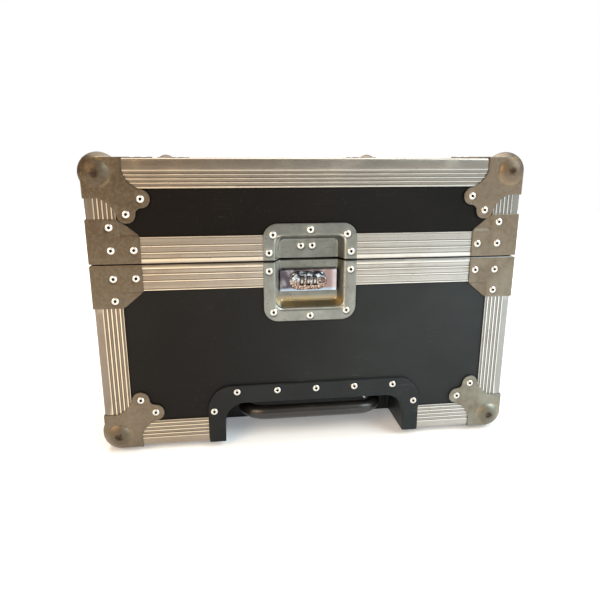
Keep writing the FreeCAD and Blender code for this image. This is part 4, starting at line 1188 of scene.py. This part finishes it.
class CASE_OT_latch_dish(bpy.types.Operator):
    """Presses the two halves of the latch dish"""
    bl_idname = "case.latch_dish"
    bl_label = "Latch dish"

    def execute(self, context):
        s = sizes()
        low, high = cad("latch_dish_lower")[0], cad("latch_dish_upper")[1]
        face = FRONT
        depth = high.y - face - s.sheet
        middle = (low.x + high.x) / 2
        lip = (middle - 38.7 * MM, middle + 38.7 * MM, low.z + 13.6 * MM, high.z - 13.0 * MM)
        floor = (middle - 32.5 * MM, middle + 32.5 * MM, low.z + 19.9 * MM, high.z - 18.1 * MM)
        lock_low, lock_high = cad("lock_face_plate")
        inset = 8 * MM
        works = (lock_low.x + inset, lock_high.x - inset, lock_low.z + inset, lock_high.z - inset)
        flange = (low.x, high.x, low.z, high.z)
        shape = dish_shape(lambda a, b, far: Vector((a, face + far, b)), flange, 16 * MM, lip, 10 * MM,
                           floor, 5 * MM, depth, s.lip_bend, works)
        halves = (("base", "latch_dish_lower", BASE_RIM, 1), ("lid", "latch_dish_upper", LID_RIM, -1))
        for body, node, rim, way in halves:
            mesh = reworked(make_mesh(node, shape), lambda build: bmesh.ops.bisect_plane(
                build, geom=build.verts[:] + build.edges[:] + build.faces[:],
                plane_co=(0, 0, rim), plane_no=(0, 0, way), clear_outer=True))
            blank = link(node + "_blank", mesh, [])
            thicken(blank)
            sheet = applied(blank, node + "_sheet").data.copy()
            bpy.data.objects.remove(blank)
            piece = pressed(node + "_pressing", sheet, s.skin_step * 0.65, 3, "zinc")
            dimpled(piece.data, body, 5.6 * MM)
            self.age(piece.data, rim, face, depth, lip, floor)
            smooth(piece.data, 50.0)
            settle(piece, body, [node])
        return {"FINISHED"}

    def age(self, mesh, rim, face, depth, lip, floor):
        """Painted shade in the depth and on the flange top, a painted shadow along the seam, a painted warm
        reflection on the lower wall, and painted light on the left wall and lip.
        """
        seam = 0.8 * MM

        def sunk(point):
            return ramp(point.y - face, 0.0, depth)

        def lip_distance(point):
            return max(lip[0] - point.x, point.x - lip[1], lip[2] - point.z, point.z - lip[3])

        # Painted shadow along the seam, and painted shade on the flange top and deeper in the dish.
        def grime(point):
            if abs(point.z - rim) < seam:
                return 2.4
            top = 0.55 if point.z > lip[3] and sunk(point) < 0.2 else 0.0
            return max(top, sunk(point) ** 0.7 * (0.2 if point.x < floor[0] else 0.8))

        # A painted warm reflection on the lower wall.
        def gold(point):
            inside = sunk(point) > 0.12 and lip_distance(point) < 0
            return ramp(floor[2] + 7 * MM - point.z, 0.0, 6 * MM) if inside else 0.0

        # Painted light on the left wall, and a painted highlight along the lip.
        def bright(point):
            wall = 1.0 if lip[0] < point.x < floor[0] and sunk(point) > 0.1 else 0.0
            edge = 0.6 - 0.6 * abs(lip_distance(point) + 0.6 * MM) / (1.3 * MM)
            return max(wall, edge if sunk(point) < 0.3 else 0.0, 0.0)
        mark(mesh, "grime", grime)
        mark(mesh, "gold", gold)
        mark(mesh, "bright", bright)


# ------------------------------------------------------------------ lock

def lock_windows():
    """The dials' windows, from the dials' own places, as (left, right)."""
    boxes = [cad("number_dial_" + name) for name in DIALS]
    return [(low.x - 0.3 * MM, high.x + 0.3 * MM) for low, high in boxes]


class CASE_OT_lock(bpy.types.Operator):
    """Makes the lock plate, its oval bezel, the slide and the number dials"""
    bl_idname = "case.lock"
    bl_label = "Lock"

    def execute(self, context):
        self.plate()
        self.bezel()
        self.slide()
        for name in DIALS:
            self.dial(name)
        keep_nodes(["lock_dial_shaft"], "iron")
        keep_nodes(["lock_bolt", "lock_keeper"], "black_steel")
        return {"FINISHED"}

    def plate(self):
        low, high = cad("lock_face_plate")
        shape = Shape()
        bend, corner, half = 0.9 * MM, 1.2 * MM, 6.2 * MM
        rings = [inset_ring(high.y, low, high, 0.0, corner, 4)]
        for k in range(6):
            turn = math.radians(90 * k / 5)
            far = low.y + bend * (1 - math.sin(turn))
            rings.append(inset_ring(far, low, high, bend * (1 - math.cos(turn)), corner, 4))
        made = shape.loft(rings)
        middle = (low.z + high.z) / 2
        holes = []
        for left, right in lock_windows():
            rims = [front_ring(low.y + d, left, right, middle - half, middle + half, 0.4 * MM, 2)
                    for d in (0, 1.0 * MM)]
            holes.append(shape.loft(rims)[0])
        shape.fill([made[-1]] + holes)
        make_piece("lock_plate", shape, ["chrome"], "base", ["lock_face_plate"], 35.0)

    def bezel(self):
        low, high = cad("lock_bezel")
        radius, middle = (high.z - low.z) / 2, (low.z + high.z) / 2
        shape = Shape()
        rings = []
        dome = ((0, 1.0), (0, 0.62), (0.2, 0.46), (0.6, 0.30), (1.2, 0.16), (2.0, 0.06), (3.0, 0.0))
        for inset, far in dome:
            d = inset * MM
            rings.append(inset_ring(low.y + (high.y - low.y) * far, low, high, d, radius - d - 0.01 * MM, 12))
        made = shape.loft(rings)
        button_low, button_high = cad("lock_slide_button")
        travel, clear, widest_dial = 3.9 * MM, 0.3 * MM, 6 * MM
        gaps = [(left, right, 5.6 * MM, 0.5 * MM) for left, right in lock_windows()]
        gaps.append((button_low.x - travel, button_high.x + clear,
                     (button_high.z - button_low.z) / 2 + 0.2 * MM, 0.8 * MM))
        holes = []
        for left, right, half, corner in gaps:
            rims = [front_ring(low.y + d, left + e, right - e, middle - half + e, middle + half - e,
                               corner, 3) for d, e in ((0, 0), (0.25 * MM, 0.2 * MM), (1.9 * MM, 0.2 * MM))]
            rim = shape.loft(rims)
            holes.append(rim[0])
            if right - left > widest_dial:
                shape.face(rim[-1])
        shape.fill([made[-1]] + holes)
        make_piece("lock_oval", shape, ["bezel"], "base", ["lock_bezel"], 35.0)

    def slide(self):
        low, high = cad("lock_slide_button")
        across, middle = (low.x + high.x) / 2, (low.z + high.z) / 2
        end, stem_half = 1.1 * MM, 1.4 * MM
        shape = Shape()
        made = shape.loft([inset_ring(low.y + far * MM, low, high, inset * MM, end, 4) for inset, far in
                           ((0.1, 4.0), (0.1, 0.9), (0.15, 0.5), (0.45, 0.15), (0.9, 0.0))])
        ribs = []
        for k in (-1, 0, 1):
            z = middle + k * 1.2 * MM
            rib = shape.loft([front_ring(low.y + d * MM, low.x + end, high.x - end, z - e * MM, z + e * MM,
                                         0.1 * MM, 1) for d, e in ((0, 0.35), (0.3, 0.15))])
            shape.face(rib[-1])
            ribs.append(rib[0])
        shape.fill([made[-1]] + ribs)
        shape.face(made[0][::-1])
        stem = shape.loft([front_ring(far, across - stem_half, across + stem_half, middle - stem_half,
                                      middle + stem_half, 0.2 * MM, 1) for far in (low.y + 3.9 * MM, high.y)])
        shape.face(stem[-1])
        make_piece("lock_slide", shape, ["chrome"], "lock_slider",
                   ["lock_slide_button"], 35.0)

    def dial(self, name):
        """A ribbed disc with the figures 0 to 9 round its edge."""
        low, high = cad("number_dial_" + name)
        radius = (high.z - low.z) / 2
        centre = Vector((low.x, (low.y + high.y) / 2, (low.z + high.z) / 2))
        width = high.x - low.x
        shape = Shape()
        steps = 120
        rings = []
        wide = width / MM
        for far, drop in ((0.0, 0.55), (0.25, 0.12), (0.5, 0.0), (wide - 0.5, 0.0), (wide - 0.25, 0.12),
                          (wide, 0.55)):
            ring = []
            for k in range(steps):
                turn = TURN * k / steps
                notch = max(0.0, math.cos(10 * turn + math.pi)) ** 14
                r = radius - drop * MM - 0.3 * MM * notch
                ring.append(centre + Vector((far * MM, r * math.sin(turn), r * math.cos(turn))))
            rings.append(ring)
        made = shape.loft(rings)
        inner = shape.loft([[centre + Vector((far, a, b)) for b, a in circle(1.5 * MM, steps)]
                            for far in (0.0, width)])
        shape.bridge(made[0], inner[0])
        shape.bridge(made[-1], inner[-1])
        self.figures(shape, centre, radius, width)
        make_piece("dial_" + name, shape, ["dial", "rivet"], "dial_" + name,
                   ["number_dial_" + name], 35.0)

    def figures(self, shape, centre, radius, width):
        """The figures 0 to 9, wrapped round a dial's edge."""
        for digit in range(10):
            curve = bpy.data.curves.new("figure", "FONT")
            curve.body = str(digit)
            curve.size = 4.3 * MM
            curve.offset = 0.12 * MM
            curve.align_x = "CENTER"
            curve.align_y = "CENTER"
            curve.extrude = 0.03 * MM
            text = bpy.data.objects.new("figure", curve)
            bpy.context.scene.collection.objects.link(text)
            bpy.context.view_layer.update()
            graph = bpy.context.evaluated_depsgraph_get()
            mesh = bpy.data.meshes.new_from_object(text.evaluated_get(graph))
            facing = math.radians(36 * digit) - math.pi / 2
            points = []
            for vert in mesh.vertices:
                turn = facing + vert.co.y / radius
                out = radius + vert.co.z + 0.02 * MM
                points.append(centre + Vector((width / 2 + vert.co.x, out * math.sin(turn),
                                               out * math.cos(turn))))
            ring = shape.ring(points)
            for polygon in mesh.polygons:
                shape.face([ring[i] for i in polygon.vertices], 1)
            bpy.data.objects.remove(text)
            bpy.data.curves.remove(curve)
            bpy.data.meshes.remove(mesh)


# ------------------------------------------------------------------ handle

class CASE_OT_recess(bpy.types.Operator):
    """Moulds the handle recess and the wheel wells with eased edges"""
    bl_idname = "case.recess"
    bl_label = "Recess and wells"

    def execute(self, context):
        for node, name, step, passes in (("handle_recess", "recess_moulding", 0.9 * MM, 7),
                                         ("wheel_well_left", "well_moulding_left", 1.0 * MM, 3),
                                         ("wheel_well_right", "well_moulding_right", 1.0 * MM, 3)):
            piece = pressed(name, frame_mesh(node), step, passes, "recess")
            dimpled(piece.data, "base", 5.4 * MM)
            smooth(piece.data, 60.0)
            settle(piece, "base", [node])
        keep_nodes(["handle_tube_clamps"], "recess", 0.6 * MM)
        return {"FINISHED"}


class CASE_OT_pull_handle(bpy.types.Operator):
    """Makes the pull handle's bar, its release and the tubes"""
    bl_idname = "case.pull_handle"
    bl_label = "Pull handle"

    def execute(self, context):
        radius = sizes().grip_radius
        low, high = cad("pull_handle_grip")
        release_low, release_high = cad("handle_release_bar")
        z = (low.z + high.z) / 2
        full = (high.z - low.z) / 2
        bar_y, left, right = low.y + full, low.x + full, high.x - full
        bend, step = 25 * MM, 5 * MM
        corners = ((left, high.y, 0), (left, bar_y, bend), (right, bar_y, bend), (right, high.y, 0))
        path = rounded_path(corners, 14, False)
        points = []
        for (x0, y0), (x1, y1) in zip(path, path[1:]):
            count = max(1, round(math.dist((x0, y0), (x1, y1)) / step))
            for k in range(count):
                points.append(Vector((x0 + (x1 - x0) * k / count, y0 + (y1 - y0) * k / count, z)))
        points.append(Vector((*path[-1], z)))

        def outline(t):
            """An oval bar, a little flatter where the hand closes round it."""
            spot = abs(t - 0.5) * 2
            ease = 1 - 0.045 * max(0.0, 1 - (spot / 0.72) ** 4)
            collar = 0.94 if t < 0.03 or t > 0.97 else 1.0
            return [(radius * collar * math.cos(u) * ease, radius * collar * math.sin(u) * (2 - ease) * 0.985)
                    for u in (TURN * k / 28 for k in range(28))]
        shape = Shape()
        shape.sweep(points, outline, (0, 0, 1))
        make_piece("handle_bar", shape, ["grip"], "pull_handle", ["pull_handle_grip"], 50.0)
        self.release(release_low, release_high)
        keep_nodes(["handle_outer_tubes", "handle_middle_tubes", "handle_inner_tubes"], "tube")
        return {"FINISHED"}

    def release(self, low, high):
        """A ribbed press bar behind the grip."""
        shape = Shape()
        count, rib_end = 12, 1.8 * MM
        made = shape.loft([inset_ring(low.y + far * MM, low, high, inset * MM, 1.6 * MM, 4) for inset, far in
                           ((0.2, 0.0), (0.0, 0.6), (0.0, 5.6), (0.5, 6.6), (1.2, 7.0))])
        shape.face(made[0][::-1])
        ribs = []
        for k in range(count):
            x = low.x + (k + 0.5) * (high.x - low.x) / count
            rib = shape.loft([front_ring(low.y + d * MM, x - e * MM, x + e * MM, low.z + rib_end,
                                         high.z - rib_end, 0.2 * MM, 1)
                              for d, e in ((7.0, 0.6), (7.35, 0.35))])
            shape.face(rib[-1])
            ribs.append(rib[0])
        shape.fill([made[-1]] + ribs)
        make_piece("release_bar", shape, ["grip"], "release_bar",
                   ["handle_release_bar"], 35.0)


# ------------------------------------------------------------------ wheels and feet

class CASE_OT_wheels(bpy.types.Operator):
    """Turns the tyres, hubs and axles"""
    bl_idname = "case.wheels"
    bl_label = "Wheels"

    def execute(self, context):
        for side in SIDES:
            self.tyre(side)
            self.hub(side)
        keep_nodes(["wheel_axles"], "iron")
        return {"FINISHED"}

    def tyre(self, side):
        low, high = cad("wheel_tyre_" + side)
        outer, width = (high.z - low.z) / 2, high.x - low.x
        rim = cad("wheel_hub_" + side)
        inner = (rim[1].z - rim[0].z) / 2
        tread = sizes().tread
        centre = Vector((low.x, (low.y + high.y) / 2, (low.z + high.z) / 2))
        shoulder = rounded_path(((0, inner, 0), (0, outer, 4.4 * MM), (width / 2, outer, 0)), 7, False)
        half = [(r, s) for s, r in shoulder]
        grooves = []
        for place in (0.34, 0.5, 0.66):
            s = width * place
            grooves += [(outer, s - 1.1 * MM), (outer - tread * 0.8, s - 0.7 * MM), (outer - tread, s),
                        (outer - tread * 0.8, s + 0.7 * MM), (outer, s + 1.1 * MM)]
        other = [(r, width - s) for r, s in reversed(half[:-1])]
        shape = Shape()
        shape.turned(half[:-1] + grooves + other, centre, (1, 0, 0), 72)
        make_piece("tyre_" + side, shape, ["rubber"], "wheel_" + side,
                   ["wheel_tyre_" + side], 35.0)

    def hub(self, side):
        low, high = cad("wheel_hub_" + side)
        outer, width = (high.z - low.z) / 2, high.x - low.x
        centre = Vector((low.x, (low.y + high.y) / 2, (low.z + high.z) / 2))
        bore, boss, web, lip = 4.06 * MM, 8 * MM, 5 * MM, 4 * MM
        face = [(bore, 0), (bore + 0.5 * MM, 0), (boss - 0.6 * MM, 0), (boss, 0.6 * MM),
                (boss + 0.4 * MM, web - 0.6 * MM), (boss + 1.2 * MM, web), (outer - lip - 1.0 * MM, web),
                (outer - lip - 0.2 * MM, web - 0.7 * MM), (outer - lip, 0.6 * MM),
                (outer - lip + 0.6 * MM, 0), (outer - 0.4 * MM, 0), (outer, 0.4 * MM)]
        shape = Shape()
        shape.turned(face + [(r, width - s) for r, s in reversed(face)], centre, (1, 0, 0), 60)
        rib_low, rib_high, count = boss - 0.3 * MM, outer - lip + 0.3 * MM, 6
        for end, way in ((0.9 * MM, 1), (width - 0.9 * MM, -1)):
            for k in range(count):
                turn = Matrix.Rotation(TURN * k / count, 3, "X")
                rib = shape.loft([[centre + turn @ Vector((end + way * near * MM, a, b)) for a, b in
                                   rectangle(-wide * MM, wide * MM, rib_low, rib_high, 0.3 * MM, 1)]
                                  for near, wide in ((0.0, 0.55), (0.35, 0.85), (4.2, 1.0))])
                shape.face(rib[0])
                shape.face(rib[-1])
        make_piece("hub_" + side, shape, ["hub"], "wheel_" + side, ["wheel_hub_" + side], 35.0)


class CASE_OT_feet(bpy.types.Operator):
    """Moulds the rubber feet with their sunk screws"""
    bl_idname = "case.feet"
    bl_label = "Feet"

    def execute(self, context):
        low, high = cad("rubber_feet")
        radius, small, hole = 17 * MM, 15 * MM, 6.0 * MM
        height = high.z - low.z
        foot = [(radius, height), (radius - 0.2 * MM, height * 0.5), (small + 0.5 * MM, 1.2 * MM),
                (small, 0.5 * MM), (small - 0.6 * MM, 0.0), (hole + 0.6 * MM, 0.0), (hole, 0.5 * MM),
                (hole, 3.6 * MM)]
        screw = [(hole, 3.6 * MM), (4.4 * MM, 3.5 * MM), (4.1 * MM, 2.7 * MM), (2.8 * MM, 2.1 * MM),
                 (1.4 * MM, 2.0 * MM), (1.2 * MM, 3.4 * MM)]
        shape = Shape()
        for x in (low.x + radius, high.x - radius):
            for y in (low.y + radius, high.y - radius):
                made = shape.lathe(foot, (x, y, 0), (0, 0, 1), 40)
                shape.face(made[0])
                head = shape.lathe(screw, (x, y, 0), (0, 0, 1), 40, 1)
                shape.face(head[-1], 1)
        make_piece("feet", shape, ["rubber", "iron"], "base", ["rubber_feet"], 35.0)
        return {"FINISHED"}


# ------------------------------------------------------------------ side handles and hinges

class CASE_OT_side_handles(bpy.types.Operator):
    """Presses the side dishes and makes their bails, sleeves and springs"""
    bl_idname = "case.side_handles"
    bl_label = "Side handles"

    def execute(self, context):
        for side, way in (("left", -1), ("right", 1)):
            self.dish(side, way)
            self.bail(side)
        self.springs()
        return {"FINISHED"}

    def dish(self, side, way):
        s = sizes()
        node = "side_handle_dish_" + side
        low, high = cad(node)
        outer = high.x if way > 0 else low.x
        depth = high.x - low.x - 2 * s.sheet
        seat = outer - way * s.sheet
        middle = ((low.y + high.y) / 2, (low.z + high.z) / 2)
        flange = (low.y, high.y, low.z, high.z)
        lip = (middle[0] - 62 * MM, middle[0] + 62 * MM, middle[1] - 40 * MM, middle[1] + 40 * MM)
        floor = tuple(v + d * 0.8 * MM for v, d in zip(lip, (1, -1, 1, -1)))
        shape = dish_shape(lambda a, b, far: Vector((seat - way * far, a, b)), flange, 10 * MM, lip, 8 * MM,
                           floor, 6.5 * MM, depth, 2.0 * MM)
        piece = link(side + "_dish_pressing", make_mesh(side + "_dish_pressing", shape, 40.0), ["zinc"])
        thicken(piece)
        settle(piece, "base", [node])

    def bail(self, side):
        low, high = cad("side_handle_bail_" + side)
        wire = (high.x - low.x) / 2
        x = (low.x + high.x) / 2
        top, base = high.z - wire, low.z + wire
        middle, reach, bend = (low.y + high.y) / 2, 50 * MM, 8 * MM
        corners = ((low.y, top, 0), (middle - reach, top, bend), (middle - reach, base, bend),
                   (middle + reach, base, bend), (middle + reach, top, bend), (high.y, top, 0))
        path = [Vector((x, a, b)) for a, b in rounded_path(corners, 8, False)]
        shape = Shape()
        shape.sweep(path, circle(wire, 18), (1, 0, 0))
        make_piece("bail_" + side, shape, ["tube"], "side_handle_" + side,
                   ["side_handle_bail_" + side], 45.0)
        low, high = cad("side_handle_grip_" + side)
        radius, width = (high.z - low.z) / 2, high.y - low.y
        bore = wire + 0.1 * MM
        profile = [(bore, 0.0), (radius - 1.4 * MM, 0.0), (radius - 0.3 * MM, 0.8 * MM)]
        count, waves = 40, 4
        for k in range(count + 1):
            t = k / count
            wave = 0.5 - 0.5 * math.cos(TURN * waves * t)
            profile.append((radius - 0.2 * MM - 0.9 * MM * wave, 1.6 * MM + t * (width - 3.2 * MM)))
        profile += [(radius - 0.3 * MM, width - 0.8 * MM), (radius - 1.4 * MM, width), (bore, width)]
        shape = Shape()
        shape.turned(profile, Vector(((low.x + high.x) / 2, low.y, (low.z + high.z) / 2)), (0, 1, 0), 28)
        make_piece("sleeve_" + side, shape, ["grip"], "side_handle_" + side,
                   ["side_handle_grip_" + side], 50.0)

    def springs(self):
        """Closed coils round the four pivots."""
        low, high = cad("side_handle_springs")
        wire = 0.75 * MM
        coil = (high.z - low.z) / 2 - wire
        z = (low.z + high.z) / 2
        turns, wide, per_turn = 1.6, 3.0 * MM, 24
        shape = Shape()
        for x in (low.x + wire + coil, high.x - wire - coil):
            for start, way in ((low.y, 1), (high.y, -1)):
                path = []
                for k in range(int(turns * per_turn) + 1):
                    angle = TURN * k / per_turn
                    y = start + way * (wire + (wide - 2 * wire) * k / (turns * per_turn))
                    path.append(Vector((x + coil * math.cos(angle), y, z + coil * math.sin(angle))))
                shape.sweep(path, circle(wire, 8), (0, 1, 0))
        make_piece("pivot_springs", shape, ["iron"], "base", ["side_handle_springs"], 50.0)


class CASE_OT_hinges(bpy.types.Operator):
    """Finishes the hinge leaves and pins"""
    bl_idname = "case.hinges"
    bl_label = "Hinges"

    def execute(self, context):
        for body in BODIES:
            node = "hinge_" + body + "_leaves"
            piece = pressed(body + "_hinge_leaves", frame_mesh(node), 0.6 * MM, 2, "steel")
            smooth(piece.data, 50.0)
            settle(piece, body, [node])
        keep_nodes(["hinge_pins"], "iron")
        return {"FINISHED"}


# ------------------------------------------------------------------ panels and lining

class CASE_OT_panels(bpy.types.Operator):
    """Lays the black laminate and the bare boards"""
    bl_idname = "case.panels"
    bl_label = "Panels"

    def execute(self, context):
        for body, material in (("base", "laminate"), ("lid", "lid_laminate")):
            names = [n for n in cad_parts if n.startswith(body) and n.endswith("_panel")]
            keep_nodes(names, material)
        keep_nodes(["inner_floor", "floor_battens"], "board")
        return {"FINISHED"}


def pad(shape, low, high, height, step, edge):
    """A foam pad: a fine grid on top, eased at its edges, on a plain block."""
    nx = max(2, round((high.x - low.x) / step))
    ny = max(2, round((high.y - low.y) / step))
    up = 1 if high.z > low.z else -1
    rows = []
    for j in range(ny + 1):
        row = []
        for i in range(nx + 1):
            x = low.x + (high.x - low.x) * i / nx
            y = low.y + (high.y - low.y) * j / ny
            rim = min(x - low.x, high.x - x, y - low.y, high.y - y)
            ease = max(0.0, 1 - rim / edge) ** 2 * edge * 0.6
            row.append(Vector((x, y, high.z - up * (height(x, y) + ease))))
        rows.append(shape.ring(row))
    for first, second in zip(rows, rows[1:]):
        shape.bridge(first, second, 0, False)
    border = rows[0] + [r[-1] for r in rows[1:]] + rows[-1][-2::-1] + [r[0] for r in rows[-2:0:-1]]
    under = shape.ring([Vector((shape.points[i].x, shape.points[i].y, low.z)) for i in border])
    shape.bridge(border, under)
    shape.face(under)


class CASE_OT_foam(bpy.types.Operator):
    """Cuts the foam lining of the base and the lid"""
    bl_idname = "case.foam"
    bl_label = "Foam lining"

    def execute(self, context):
        s = sizes()
        wave, swing = TURN / s.foam_wave, s.foam_depth / 2
        base_low, base_high = cad("base_foam")
        lid_low, lid_high = cad("lid_foam")
        inset = 6 * MM
        window = (cad("latch_dish_lower")[0].x + inset, cad("latch_dish_upper")[1].x - inset)
        floor_top, pad_low = base_low.z + FOAM, lid_high.z - 25 * MM

        def soft(x, y):
            return 0.5 * MM + 0.4 * MM * math.sin(x * 37) * math.sin(y * 29)

        def convoluted(x, y):
            return swing * (1 - math.sin(x * wave) * math.sin(y * wave))
        shape = Shape()
        pad(shape, base_low, Vector((*base_high.xy, floor_top)), soft, 9 * MM, 4 * MM)
        self.walls(shape, base_low, base_high, floor_top, base_high.z, window, True)
        piece = make_piece("base_lining", shape, ["foam"], "base", ["base_foam"], 60.0)

        shape = Shape()
        pad(shape, Vector((*lid_low.xy, lid_high.z)), Vector((*lid_high.xy, pad_low)), convoluted,
            4.25 * MM, 2 * MM)
        self.walls(shape, lid_low, lid_high, lid_low.z, pad_low, window, False)
        piece = make_piece("lid_lining", shape, ["foam"], "lid", ["lid_foam"], 60.0)
        return {"FINISHED"}

    def walls(self, shape, low, high, z0, z1, window, base):
        """Upright pads against the panels, open where the dishes reach in."""
        gap, edge, margin = 0.3 * MM, 3 * MM, 10 * MM
        runs = [("x", low.x, window[0], low.y, low.y + FOAM, z0, z1),
                ("x", window[1], high.x, low.y, low.y + FOAM, z0, z1),
                ("x", low.x, high.x, high.y - FOAM, high.y, z0, z1)]
        hole_low, hole_high = cad("side_handle_dish_left")
        y0, y1 = hole_low.y + margin, hole_high.y - margin
        for x0, x1 in ((low.x, low.x + FOAM), (high.x - FOAM, high.x)):
            if base:
                runs += [("y", low.y + FOAM, y0, x0, x1, z0, z1), ("y", y1, high.y - FOAM, x0, x1, z0, z1),
                         ("y", y0, y1, x0, x1, z0, hole_low.z + margin),
                         ("y", y0, y1, x0, x1, hole_high.z - margin, z1)]
            else:
                runs.append(("y", low.y + FOAM, high.y - FOAM, x0, x1, z0, z1))
        low_edge, high_edge = (0, edge) if base else (edge, 0)
        for axis, a0, a1, c0, c1, b0, b1 in runs:
            outline = rounded_path(((c0 + gap, b0, 0), (c1 - gap, b0, low_edge), (c1 - gap, b1, high_edge),
                                    (c0 + gap, b1, high_edge)), 4)
            count = max(2, round((a1 - a0) / (20 * MM)))
            rings = []
            for k in range(count + 1):
                run = a0 + (a1 - a0) * k / count
                bulge = 0.25 * MM * math.sin(run * 61)
                rings.append([Vector((run, c + bulge, b)) if axis == "x" else Vector((c + bulge, run, b))
                              for c, b in outline])
            made = shape.loft(rings)
            shape.face(made[0])
            shape.face(made[-1])


# ------------------------------------------------------------------ stage

class CASE_OT_stage(bpy.types.Operator):
    """Sets the camera, the floor and the soft lights"""
    bl_idname = "case.stage"
    bl_label = "Stage"

    def execute(self, context):
        stage = context.scene.case_stage
        data = bpy.data.cameras.new("camera")
        data.sensor_width = 36.0
        data.lens = stage.lens
        data.clip_start = 0.01
        camera = bpy.data.objects.new("camera", data)
        context.scene.collection.objects.link(camera)
        camera.location = Vector(((LEFT + RIGHT) / 2, FRONT, BOTTOM)) + Vector(stage.eye)
        camera.rotation_euler = Euler((math.pi / 2 - stage.pitch, 0, -stage.yaw))
        context.scene.camera = camera

        mesh = bpy.data.meshes.new("floor")
        steps = 96
        ring = [TURN * k / steps for k in range(steps)]
        mesh.from_pydata([(3.0 * math.cos(a), 3.0 * math.sin(a), 0) for a in ring], [], [tuple(range(steps))])
        floor = bpy.data.objects.new("floor", mesh)
        context.scene.collection.objects.link(floor)
        sheet = Sheet("floor_paint", tuple(stage.floor), 0.0, 0.8)
        sheet.set("Emission Color", (0.92, 0.96, 1.0, 1.0))
        sheet.set("Emission Strength", stage.floor_glow)
        mesh.materials.append(sheet.material)

        context.scene.view_settings.view_transform = "Standard"
        self.sky(context, stage)
        middle = Vector((0, 0, (BOTTOM + TOP) / 2))
        front = Vector((0, FRONT - 0.9, 0))
        self.lamp("warm", (-1.3, -1.7, 1.0), front, 1.2, 30.0, (1.0, 0.74, 0.48))
        self.lamp("cool", (1.5, -1.5, 1.2), front, 1.5, 44.0, (0.82, 0.95, 1.0))
        self.lamp("top", (0.0, 0.6, 2.7), middle, 2.6, 64.0, (1.0, 0.99, 0.98))
        self.lamp("back", (0.0, 2.6, 2.4), Vector((0, 2.6, 0)), 3.0, 80.0, (1.0, 1.0, 1.0))
        return {"FINISHED"}

    def sky(self, context, stage):
        """Soft light that is warm on the left, cool on the right and stronger from above."""
        world = bpy.data.worlds.new("studio")
        context.scene.world = world
        world.use_nodes = True
        s = Graph(world.node_tree, "Generated")
        split, height = s.part_of("X"), s.part_of("Z")
        seen = s.node("ShaderNodeLightPath", output="Is Camera Ray")
        tone = s.blend((split * 0.9 + 0.5).between(0.0, 1.0), tuple(stage.warm), tuple(stage.cool))
        strength = stage.sky * (0.55 + height.between(-0.1, 0.9) * 0.9)
        background = world.node_tree.nodes["Background"]
        world.node_tree.links.new(s.blend(seen, tone, (1.0, 1.0, 1.0)).socket, background.inputs["Color"])
        total = seen.at_least((1 - seen) * strength)
        world.node_tree.links.new(total.socket, background.inputs["Strength"])

    def lamp(self, name, place, target, size, power, tone):
        data = bpy.data.lights.new(name, "AREA")
        data.shape = "SQUARE"
        data.size = size
        data.energy = power
        data.color = tone
        lamp = bpy.data.objects.new(name, data)
        bpy.context.scene.collection.objects.link(lamp)
        lamp.location = place
        lamp.rotation_euler = (target - Vector(place)).to_track_quat("-Z", "Y").to_euler()


# ------------------------------------------------------------------ add-on

OPERATORS = (
    CASE_OT_stage, CASE_OT_panels, CASE_OT_edges, CASE_OT_rims, CASE_OT_corners, CASE_OT_braces,
    CASE_OT_latch_dish, CASE_OT_lock, CASE_OT_recess, CASE_OT_pull_handle, CASE_OT_wheels,
    CASE_OT_side_handles, CASE_OT_hinges, CASE_OT_feet, CASE_OT_foam, CASE_OT_rivets,
)


class CASE_PT_panel(bpy.types.Panel):
    """Lists the steps that dress the case"""
    bl_label = "Flight Case"
    bl_idname = "CASE_PT_panel"
    bl_space_type = "VIEW_3D"
    bl_region_type = "UI"
    bl_category = "Flight Case"

    def draw(self, context):
        for operator in OPERATORS:
            self.layout.operator(operator.bl_idname)


GROUPS = {"case_sizes": CaseSizes, "case_colours": CaseColours, "case_stage": CaseStage}


def register():
    for group in GROUPS.values():
        bpy.utils.register_class(group)
    for operator in OPERATORS:
        bpy.utils.register_class(operator)
    bpy.utils.register_class(CASE_PT_panel)
    for name, group in GROUPS.items():
        setattr(bpy.types.Scene, name, PointerProperty(type=group))


def unregister():
    for name in GROUPS:
        delattr(bpy.types.Scene, name)
    bpy.utils.unregister_class(CASE_PT_panel)
    for operator in reversed(OPERATORS):
        bpy.utils.unregister_class(operator)
    for group in GROUPS.values():
        bpy.utils.unregister_class(group)


def main():
    register()
    for operator in OPERATORS:
        group, name = operator.bl_idname.split(".")
        getattr(getattr(bpy.ops, group), name)()


if __name__ == "__main__":
    main()
